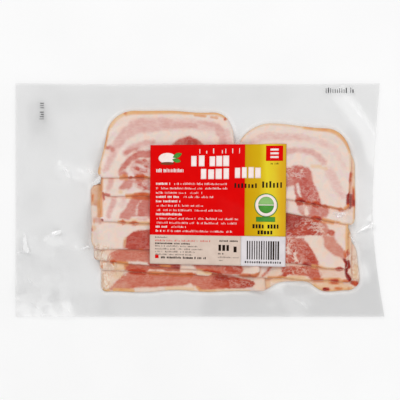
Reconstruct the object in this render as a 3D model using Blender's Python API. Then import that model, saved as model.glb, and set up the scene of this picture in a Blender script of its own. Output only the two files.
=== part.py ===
"""A flat vacuum pouch of sliced smoked bacon, lying with its printed label up.

Metres, +Z up. The origin is on the resting plane, under the middle of the pouch. +X runs along the pouch's
long side and +Y points to its top edge. The pouch is one closed solid: a thin sealed border round two
shingled rows of slices, each slice bent over the ones it lies on. The label is a thin sheet on top.
"""

import math

import bmesh
import bpy
import numpy as np
from mathutils import Vector, geometry

MM = 0.001

# The pouch's cut outline. The right side is drawn in at a waist by the creases that end there.
POUCH_LENGTH = 280 * MM
POUCH_WIDTH = 177 * MM
TOP_RIGHT_X = 136.5 * MM
WAIST_X = 131 * MM
WAIST_Y = -10 * MM
WAIST_CURVE = 1.6
TOP_EDGE_WAVE = 0.5 * MM
OUTLINE_STEP = 7 * MM

# The sealed border: two films that lie as one thin sheet just clear of the table.
BORDER_THICKNESS = 0.6 * MM
BORDER_LIFT = 0.2 * MM
BORDER_STEP = 9 * MM
BORDER_FLAT = 4 * MM
BORDER_RISE = 16 * MM

# Soft ridges of the border: start, end, half width and height, in millimetres.
RIDGES = (
    ((112, -25), (133, -17), 5, 2.6),
    ((114, -26), (122, -44), 5, 1.8),
    ((103, 80), (134, 38), 9, 2.2),
    ((-136, -30), (-92, -38), 8, 1.6),
    ((-84, 14), (-104, 25), 5, 1.8),
    ((-140, -66), (-104, -88), 8, 2.4),
    ((-120, 60), (-112, 30), 11, 1.5),
    ((20, -88), (80, -80), 9, 1.2),
    ((-60, 88), (30, 80), 10, 1.2),
)

# Slices, from the bottom of the stack up: lower left, lower right, upper right and upper left corners, and
# the radius of each corner, in millimetres.
SLICES = (
    ("right_5", ((40, -69), (122, -69), (117, -21.5), (44, -24)), (4, 9, 21.5, 6)),
    ("left_7", ((-75, -69.5), (50, -69), (46, -20), (-76, -17.5)), (4, 2, 12, 10.5)),
    ("right_4", ((10, -56.5), (115, -62.5), (114, -11.5), (44, -14)), (4.5, 3, 16.5, 15)),
    ("left_6", ((-76, -53), (10.5, -58), (12, -4), (-76.5, -1.5)), (3, 5.5, 13.5, 10.5)),
    ("left_5", ((-80.5, -45.5), (52, -59), (16, -9), (-80.5, 5.5)), (3, 5.5, 13.5, 10.5)),
    ("right_3", ((56, -47), (112, -53), (112, 3), (36, 6)), (6, 4, 15, 18)),
    ("left_4", ((-82, -37), (22, -39.5), (25, 13.5), (-83, 12)), (7.5, 6, 15, 6)),
    ("right_2", ((34, -4), (118, -20), (117, 45.5), (32, 45.5)), (6, 4, 20.5, 23)),
    ("left_3", ((-75.5, -16.5), (28, -20), (26, 33.5), (-75.5, 35)), (4, 6, 15, 26)),
    ("left_2", ((-74.5, 3), (29, 1), (27.5, 53), (-75, 54.5)), (5.5, 6, 16.5, 27.5)),
    ("right_1", ((30, 7.5), (113, -8.5), (115.5, 52.5), (28, 60.5)), (6, 4.5, 20.5, 23)),
    ("left_1", ((-78, 17), (27.5, 15), (25, 66), (-67, 68.6)), (4.5, 6, 17, 22)),
)
# A dent in a slice's lower edge: its middle, half width and depth, in millimetres.
DENTS = {"right_5": (70.5, 17, 7.4)}
DENT_CURVE = 4
SLICE_THICKNESS = 2.8 * MM
SLICE_STEP = 5.5 * MM
SLICE_FILL_STEP = 11 * MM
EDGE_ROUND = 1.1 * MM
EDGE_WOBBLE = 0.22 * MM
WAVES_ROUND_EDGE = range(4, 10)
BRIDGE = 2 * MM
SKIRT_RUN = 0.75
SKIRT_LOOK = 4 * MM
SKIRT_MOST = 7 * MM
SKIRT_BURY = 0.35 * MM
SEED = 7

# The label: its corners as it lies, lower left first, in millimetres.
LABEL_CORNERS = ((-38, -48), (64.5, -50.5), (65.5, 42.5), (-37.5, 41.5))
LABEL_THICKNESS = 0.35 * MM
LABEL_CORNER_RADIUS = 0.8 * MM
LABEL_STEP = 6.5 * MM
LABEL_BRIDGE = 10 * MM
LABEL_GAP = 0.35 * MM
BED_MARGIN = 0.5 * MM
BED_SKIRT = 3 * MM
BED_REACH = 1.12

# The grid on which heights are worked out.
CELL = 1 * MM
RING_CLEARANCE = 0.55
LEAST_SHARE = 0.05
SHARP_ANGLE = math.radians(40)
GRID_X = np.arange(-POUCH_LENGTH / 2 - 4 * CELL, POUCH_LENGTH / 2 + 4 * CELL, CELL)
GRID_Y = np.arange(-POUCH_WIDTH / 2 - 4 * CELL, POUCH_WIDTH / 2 + 4 * CELL, CELL)
CELLS_X, CELLS_Y = np.meshgrid(GRID_X, GRID_Y)


def clear_scene():
    for item in list(bpy.data.objects):
        bpy.data.objects.remove(item, do_unlink=True)


def rounded_outline(corners, radii, step):
    """Points round a quadrilateral with an arc at each corner, counter-clockwise."""
    corners = [Vector(corner) * MM for corner in corners]
    arcs = []
    for i, corner in enumerate(corners):
        back = (corners[i - 1] - corner).normalized()
        ahead = (corners[(i + 1) % len(corners)] - corner).normalized()
        half_angle = back.angle(ahead) / 2
        radius = radii[i] * MM
        centre = corner + (back + ahead).normalized() * radius / math.sin(half_angle)
        start = corner + back * radius / math.tan(half_angle) - centre
        turn = math.pi - 2 * half_angle
        count = max(2, math.ceil(radius * turn / step))
        arc = []
        for k in range(count + 1):
            angle = math.atan2(start.y, start.x) + turn * k / count
            arc.append(centre + radius * Vector((math.cos(angle), math.sin(angle))))
        arcs.append(arc)
    points = []
    for i, arc in enumerate(arcs):
        points += arc
        following = arcs[(i + 1) % len(arcs)][0]
        count = max(1, round((following - arc[-1]).length / step))
        points += [arc[-1].lerp(following, k / count) for k in range(1, count)]
    return np.array([tuple(point) for point in points])


def outward(ring):
    """Unit normals of a counter-clockwise ring."""
    along = np.roll(ring, -1, axis=0) - np.roll(ring, 1, axis=0)
    along /= np.linalg.norm(along, axis=1)[:, None]
    return np.column_stack([along[:, 1], -along[:, 0]])


def wavy(ring, random):
    """The ring with a few slow waves in it, as a cut slice has."""
    turn = np.arange(len(ring)) / len(ring) * 2 * math.pi
    waves = np.zeros(len(ring))
    for count in WAVES_ROUND_EDGE:
        strength = math.sqrt(WAVES_ROUND_EDGE[0] / count)
        waves += strength * np.sin(count * turn + random.uniform(0, 2 * math.pi))
    return ring + outward(ring) * (EDGE_WOBBLE * waves)[:, None]


def dented(ring, middle, half_width, depth):
    """Pushes the lower edge up round one place."""
    low = ring[:, 1] < ring[:, 1].mean()
    away = np.abs(ring[:, 0] - middle * MM) / (half_width * MM)
    push = depth * MM * np.exp(-(away**DENT_CURVE))
    ring[:, 1] += np.where(low, push, 0)
    return ring


def inside(ring, x, y):
    """True at the points that lie within a ring, by counting the edges crossed."""
    crossed = np.zeros(np.shape(x), bool)
    for (x0, y0), (x1, y1) in zip(ring, np.roll(ring, -1, axis=0), strict=True):
        spans = (y0 > y) != (y1 > y)
        with np.errstate(divide="ignore", invalid="ignore"):
            meets = x < (x1 - x0) * (y - y0) / (y1 - y0) + x0
        crossed ^= spans & meets
    return crossed


def shifted(field, steps_x, steps_y):
    return np.roll(field, (steps_y, steps_x), axis=(0, 1))


def widest(field, radius):
    """The largest value within a radius of each cell."""
    reach = round(radius / CELL)
    out = field.copy()
    for i in range(-reach, reach + 1):
        for j in range(-reach, reach + 1):
            if i * i + j * j <= reach * reach:
                out = np.maximum(out, shifted(field, i, j))
    return out


def softened(field, radius):
    """A running mean over a square, taken twice."""
    reach = round(radius / CELL / 2)
    for _ in range(2):
        for axis in (0, 1):
            rolls = [np.roll(field, step, axis=axis) for step in range(-reach, reach + 1)]
            field = sum(rolls) / len(rolls)
    return field


def sample(field, points):
    """The field at each point, between its cells."""
    column = np.clip((points[:, 0] - GRID_X[0]) / CELL, 0, len(GRID_X) - 1.001)
    row = np.clip((points[:, 1] - GRID_Y[0]) / CELL, 0, len(GRID_Y) - 1.001)
    i, j = column.astype(int), row.astype(int)
    across, up = column - i, row - j
    lower = field[j, i] * (1 - across) + field[j, i + 1] * across
    upper = field[j + 1, i] * (1 - across) + field[j + 1, i + 1] * across
    return lower * (1 - up) + upper * up


def laid(stack, ring):
    """The top of a slice laid on the stack, and the stack with it. The slice spans small steps below it."""
    covered = inside(ring, CELLS_X, CELLS_Y)
    below = np.where(covered, stack, 0)
    share = softened(covered.astype(float), 2 * BRIDGE)
    spanned = np.where(covered, widest(below, BRIDGE), 0)
    bent = softened(spanned, 2 * BRIDGE) / np.maximum(share, LEAST_SHARE)
    top = np.maximum(np.where(share > LEAST_SHARE, bent, stack), below) + SLICE_THICKNESS
    return top, np.where(covered, top, stack)


def filled(ring, step):
    """Points and triangles that fill a ring, with points inside it on a staggered grid."""
    points = [Vector(point) for point in ring]
    rows = np.arange(ring[:, 1].min(), ring[:, 1].max(), step * math.sqrt(3) / 2)
    for k, y in enumerate(rows):
        for x in np.arange(ring[:, 0].min() + (k % 2) * step / 2, ring[:, 0].max(), step):
            far = np.linalg.norm(ring - (x, y), axis=1).min() > RING_CLEARANCE * step
            if far and inside(ring, np.array(x), np.array(y)):
                points.append(Vector((x, y)))
    edges = [(i, (i + 1) % len(ring)) for i in range(len(ring))]
    made = geometry.delaunay_2d_cdt(points, edges, [], 1, 1e-7)
    return np.array([tuple(point) for point in made[0]]), made[2]


def solid(name, rings, top, triangles):
    """A closed solid: rings joined by walls, a flat or copied underside and a filled top, whose first points
    are those of the last ring."""
    builder = bmesh.new()
    rows = [[builder.verts.new(point) for point in ring] for ring in rings]
    inner = [builder.verts.new(point) for point in top[len(rows[-1]):]]
    surface = rows[-1] + inner
    builder.faces.new(rows[0][::-1])
    for lower, upper in zip(rows, rows[1:], strict=False):
        for k in range(len(lower)):
            after = (k + 1) % len(lower)
            builder.faces.new((lower[k], lower[after], upper[after], upper[k]))
    for triangle in triangles:
        builder.faces.new([surface[i] for i in triangle])
    return finished(builder, name)


def sheet(name, points, triangles, ring_size, low, high):
    """A closed thin solid between two heights at each point. The ring's points come first."""
    builder = bmesh.new()
    under = [builder.verts.new((x, y, z)) for (x, y), z in zip(points, low, strict=True)]
    over = [builder.verts.new((x, y, z)) for (x, y), z in zip(points, high, strict=True)]
    for triangle in triangles:
        builder.faces.new([over[i] for i in triangle])
        builder.faces.new([under[i] for i in reversed(triangle)])
    for k in range(ring_size):
        after = (k + 1) % ring_size
        builder.faces.new((under[k], under[after], over[after], over[k]))
    return finished(builder, name)


def finished(builder, name):
    bmesh.ops.recalc_face_normals(builder, faces=builder.faces)
    mesh = bpy.data.meshes.new(name)
    builder.to_mesh(mesh)
    builder.free()
    made = bpy.data.objects.new(name, mesh)
    bpy.context.scene.collection.objects.link(made)
    return made


def raised(ring, height):
    return np.column_stack([ring, np.broadcast_to(height, len(ring))])


def pouch_outline():
    """The cut edge of the pouch, counter-clockwise from the lower left corner."""
    half_length, half_width = POUCH_LENGTH / 2, POUCH_WIDTH / 2
    across = np.linspace(-half_length, half_length, round(POUCH_LENGTH / OUTLINE_STEP))
    up = np.linspace(-half_width, half_width, round(POUCH_WIDTH / OUTLINE_STEP))
    over = (up - WAIST_Y) / (half_width - WAIST_Y)
    under = (WAIST_Y - up) / (half_width + WAIST_Y)
    right = np.where(
        up > WAIST_Y,
        WAIST_X + (TOP_RIGHT_X - WAIST_X) * np.abs(over) ** WAIST_CURVE,
        WAIST_X + (half_length - WAIST_X) * np.abs(under) ** WAIST_CURVE,
    )
    bottom = np.column_stack([across[:-1], np.full(len(across) - 1, -half_width)])
    side = np.column_stack([right[:-1], up[:-1]])
    back = np.linspace(TOP_RIGHT_X, -half_length, len(across))
    dip = TOP_EDGE_WAVE * np.sin(back[:-1] * math.pi / half_length) ** 2
    top = np.column_stack([back[:-1], half_width - dip])
    left = np.column_stack([np.full(len(up) - 1, -half_length), up[:0:-1]])
    return np.concatenate([bottom, side, top, left])


def ridge_height(points, gap):
    """The border's ridges, which fade out towards the slices. gap is each point's distance from them."""
    total = np.zeros(len(points))
    for start, end, half_width, height in RIDGES:
        start, end = np.array(start) * MM, np.array(end) * MM
        along = end - start
        share = np.clip((points - start) @ along / (along @ along), 0, 1)
        away = np.linalg.norm(points - start - share[:, None] * along, axis=1)
        total += height * MM * np.exp(-((away / (half_width * MM)) ** 2))
    fade = np.clip((gap - BORDER_FLAT) / BORDER_RISE, 0, 1)
    return total * fade * fade * (3 - 2 * fade)


def border(footprint):
    """The sealed border as one thin sheet that also runs under the slices."""
    ring = pouch_outline()
    points, triangles = filled(ring, BORDER_STEP)
    rim = np.column_stack([CELLS_X[footprint], CELLS_Y[footprint]])
    gap = np.array([np.linalg.norm(rim - point, axis=1).min() for point in points])
    low = BORDER_LIFT + ridge_height(points, gap)
    return sheet("pouch", points, triangles, len(ring), low, low + BORDER_THICKNESS)


def evened(values):
    """A running mean round a ring."""
    return sum(np.roll(values, step) for step in (-2, -1, 0, 1, 2)) / 5


def slice_solid(name, ring, top, stack):
    """A slice with the film drawn tight over its edge, solid down to the resting plane."""
    normals = outward(ring)
    crown = sample(top, ring)
    slopes = softened(stack, SKIRT_LOOK)
    drop = evened(np.clip(crown - sample(slopes, ring + normals * SKIRT_LOOK), 0, SKIRT_MOST))
    foot = ring + normals * (SKIRT_RUN * drop)[:, None]
    foot_height = np.maximum(sample(slopes, foot) - SKIRT_BURY, BORDER_LIFT + BORDER_THICKNESS / 2)
    foot_height = np.minimum(foot_height, crown - EDGE_ROUND)
    inner = ring - normals * EDGE_ROUND
    points, triangles = filled(inner, SLICE_FILL_STEP)
    rings = [
        raised(foot, 0),
        raised(foot, foot_height),
        raised(ring, crown - EDGE_ROUND),
        raised(inner, sample(top, inner)),
    ]
    return solid(name, rings, np.column_stack([points, sample(top, points)]), triangles)


def label_bed(stack):
    """The height of the film that is held flat under the label, smooth over the steps below."""
    corners = np.array(LABEL_CORNERS) * MM
    near = inside(corners * BED_REACH, CELLS_X, CELLS_Y)
    return softened(widest(np.where(near, stack, 0), LABEL_BRIDGE), LABEL_BRIDGE)


def label_ring(margin):
    centre = np.array(LABEL_CORNERS).mean(axis=0)
    corners = []
    for corner in LABEL_CORNERS:
        away = np.sign(np.array(corner) - centre)
        corners.append(tuple(np.array(corner) + away * margin / MM))
    return rounded_outline(corners, [(LABEL_CORNER_RADIUS + margin) / MM] * 4, LABEL_STEP)


def bed_solid(height, stack):
    ring = label_ring(BED_MARGIN)
    foot = label_ring(BED_SKIRT)
    points, triangles = filled(ring, LABEL_STEP)
    slopes = np.minimum(softened(stack, BED_SKIRT), height)
    foot_height = sample(slopes, foot) - 2 * SKIRT_BURY
    rings = [raised(foot, 0), raised(foot, foot_height), raised(ring, sample(height, ring))]
    return solid("bed", rings, np.column_stack([points, sample(height, points)]), triangles)


def label_solid(height):
    ring = label_ring(0)
    points, triangles = filled(ring, LABEL_STEP)
    low = sample(height, points) + LABEL_GAP
    return sheet("label", points, triangles, len(ring), low, low + LABEL_THICKNESS)


def fused(base, others):
    """Joins the others to the base by one Boolean union, and removes them."""
    group = bpy.data.collections.new("contents")
    bpy.context.scene.collection.children.link(group)
    for item in others:
        bpy.context.scene.collection.objects.unlink(item)
        group.objects.link(item)
    union = base.modifiers.new("join", "BOOLEAN")
    union.operation = "UNION"
    union.operand_type = "COLLECTION"
    union.collection = group
    union.solver = "MANIFOLD"
    graph = bpy.context.evaluated_depsgraph_get()
    joined = bpy.data.meshes.new_from_object(base.evaluated_get(graph))
    base.modifiers.remove(union)
    base.data = joined
    for item in others:
        bpy.data.objects.remove(item, do_unlink=True)
    bpy.data.collections.remove(group)


def coloured(item, name, colour, roughness):
    material = bpy.data.materials.new(name)
    material.use_nodes = True
    surface = material.node_tree.nodes["Principled BSDF"]
    surface.inputs["Base Color"].default_value = (*colour, 1)
    surface.inputs["Roughness"].default_value = roughness
    surface.inputs["Metallic"].default_value = 0.0
    item.data.materials.clear()
    item.data.materials.append(material)
    item.data.shade_smooth()
    item.data.set_sharp_from_angle(angle=SHARP_ANGLE)


def main():
    clear_scene()
    random = np.random.default_rng(SEED)
    stack = np.zeros_like(CELLS_X)
    laid_slices = []
    for name, corners, radii in SLICES:
        ring = wavy(rounded_outline(corners, radii, SLICE_STEP), random)
        if name in DENTS:
            ring = dented(ring, *DENTS[name])
        below = stack
        top, stack = laid(stack, ring)
        laid_slices.append((name, ring, top, below))
    pouch = border(stack > 0)
    contents = [slice_solid(*item) for item in laid_slices]
    bed = label_bed(stack)
    contents.append(bed_solid(bed, stack))
    fused(pouch, contents)
    coloured(pouch, "bacon_under_film", (0.68, 0.42, 0.36), 0.25)
    coloured(label_solid(bed), "label_print", (0.76, 0.02, 0.02), 0.3)


main()
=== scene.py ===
"""The finish of a flat vacuum pouch of smoked bacon: clear film, twelve slices and a printed label.

Metres, +Z up. Tables of places and sizes are in millimetres. The pouch lies on its back, +Y to its top edge.
"""

import math

import bmesh
import bpy
import numpy as np
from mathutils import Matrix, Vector, geometry
from mathutils.bvhtree import BVHTree


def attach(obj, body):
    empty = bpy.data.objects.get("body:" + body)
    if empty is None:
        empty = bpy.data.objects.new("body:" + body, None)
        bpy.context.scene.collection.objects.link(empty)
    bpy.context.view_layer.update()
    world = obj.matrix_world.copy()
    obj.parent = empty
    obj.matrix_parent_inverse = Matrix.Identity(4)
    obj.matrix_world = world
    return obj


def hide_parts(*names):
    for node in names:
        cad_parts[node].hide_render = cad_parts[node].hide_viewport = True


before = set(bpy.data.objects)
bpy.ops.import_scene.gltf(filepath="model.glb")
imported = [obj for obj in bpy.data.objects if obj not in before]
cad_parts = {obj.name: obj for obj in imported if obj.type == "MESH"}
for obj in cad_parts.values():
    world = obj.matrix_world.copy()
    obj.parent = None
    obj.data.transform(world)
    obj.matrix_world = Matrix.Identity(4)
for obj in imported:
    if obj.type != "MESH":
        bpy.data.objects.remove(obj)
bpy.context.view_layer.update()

MM = 0.001

# The pouch's cut outline.
POUCH_LENGTH = 280 * MM
POUCH_WIDTH = 177 * MM
TOP_RIGHT_X = 136.5 * MM
WAIST_X = 131 * MM
WAIST_Y = -10 * MM
WAIST_CURVE = 1.6
TOP_EDGE_WAVE = 0.5 * MM
BORDER_THICKNESS = 0.6 * MM
BORDER_LIFT = 0.2 * MM
BORDER_FLAT = 4 * MM
BORDER_RISE = 16 * MM

# Slices, from the bottom of the stack up: lower left, lower right, upper right and upper left corners, and
# the radius of each corner.
SLICES = (
    ("right_5", ((40, -69), (122, -69), (117, -21.5), (44, -24)), (4, 9, 21.5, 6)),
    ("left_7", ((-75, -69.5), (50, -69), (46, -20), (-76, -17.5)), (4, 2, 12, 10.5)),
    ("right_4", ((10, -56.5), (115, -62.5), (114, -11.5), (44, -14)), (4.5, 3, 16.5, 15)),
    ("left_6", ((-76, -53), (10.5, -58), (12, -4), (-76.5, -1.5)), (3, 5.5, 13.5, 10.5)),
    ("left_5", ((-80.5, -45.5), (52, -59), (16, -9), (-80.5, 5.5)), (3, 5.5, 13.5, 10.5)),
    ("right_3", ((56, -47), (112, -53), (112, 3), (36, 6)), (6, 4, 15, 18)),
    ("left_4", ((-82, -37), (22, -39.5), (25, 13.5), (-83, 12)), (7.5, 6, 15, 6)),
    ("right_2", ((34, -4), (118, -20), (117, 45.5), (32, 45.5)), (6, 4, 20.5, 23)),
    ("left_3", ((-75.5, -16.5), (28, -20), (26, 33.5), (-75.5, 35)), (4, 6, 15, 26)),
    ("left_2", ((-74.5, 3), (29, 1), (27.5, 53), (-75, 54.5)), (5.5, 6, 16.5, 27.5)),
    ("right_1", ((30, 7.5), (113, -8.5), (115.5, 52.5), (28, 60.5)), (6, 4.5, 20.5, 23)),
    ("left_1", ((-78, 17), (27.5, 15), (25, 66), (-67, 68.6)), (4.5, 6, 17, 22)),
)
# Where a slice's lower edge is pushed up: the middle, the half width and the depth, and how flat the dent is.
DENTS = {"right_5": (70.5, 17, 7.4)}
DENT_CURVE = 4
SLICE_THICKNESS = 2.8 * MM
SLICE_CLEARANCE = 0.25 * MM
EDGE_WOBBLE = 0.22 * MM
WAVES_ROUND_EDGE = range(4, 10)
BRIDGE = 2 * MM
SEED = 7

# The label's corners as it lies, lower left first.
LABEL_CORNERS = ((-38, -48), (64.5, -50.5), (65.5, 42.5), (-37.5, 41.5))
LABEL_THICKNESS = 0.35 * MM
LABEL_GAP = 0.3 * MM
LABEL_BRIDGE = 10 * MM
BED_REACH = 1.12

# The grid on which heights are worked out.
CELL = 0.8 * MM
LEAST_SHARE = 0.05
GRID_X = np.arange(-POUCH_LENGTH / 2 - 4 * CELL, POUCH_LENGTH / 2 + 4 * CELL, CELL)
GRID_Y = np.arange(-POUCH_WIDTH / 2 - 4 * CELL, POUCH_WIDTH / 2 + 4 * CELL, CELL)
CELLS_X, CELLS_Y = np.meshgrid(GRID_X, GRID_Y)

# How red a streak of lean is, and how dark a smoke stain. Other numbers from 0 to 1 are shades between these.
FAINT, PALE, MAUVE, PINK, ROSE, BRICK, RED, DEEP = 0.0, 0.07, 0.2, 0.42, 0.53, 0.63, 0.74, 0.95
TAN, GOLD, AMBER, BROWN, RUSSET, BURNT = 0.05, 0.3, 0.5, 0.68, 0.85, 1.0

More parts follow.
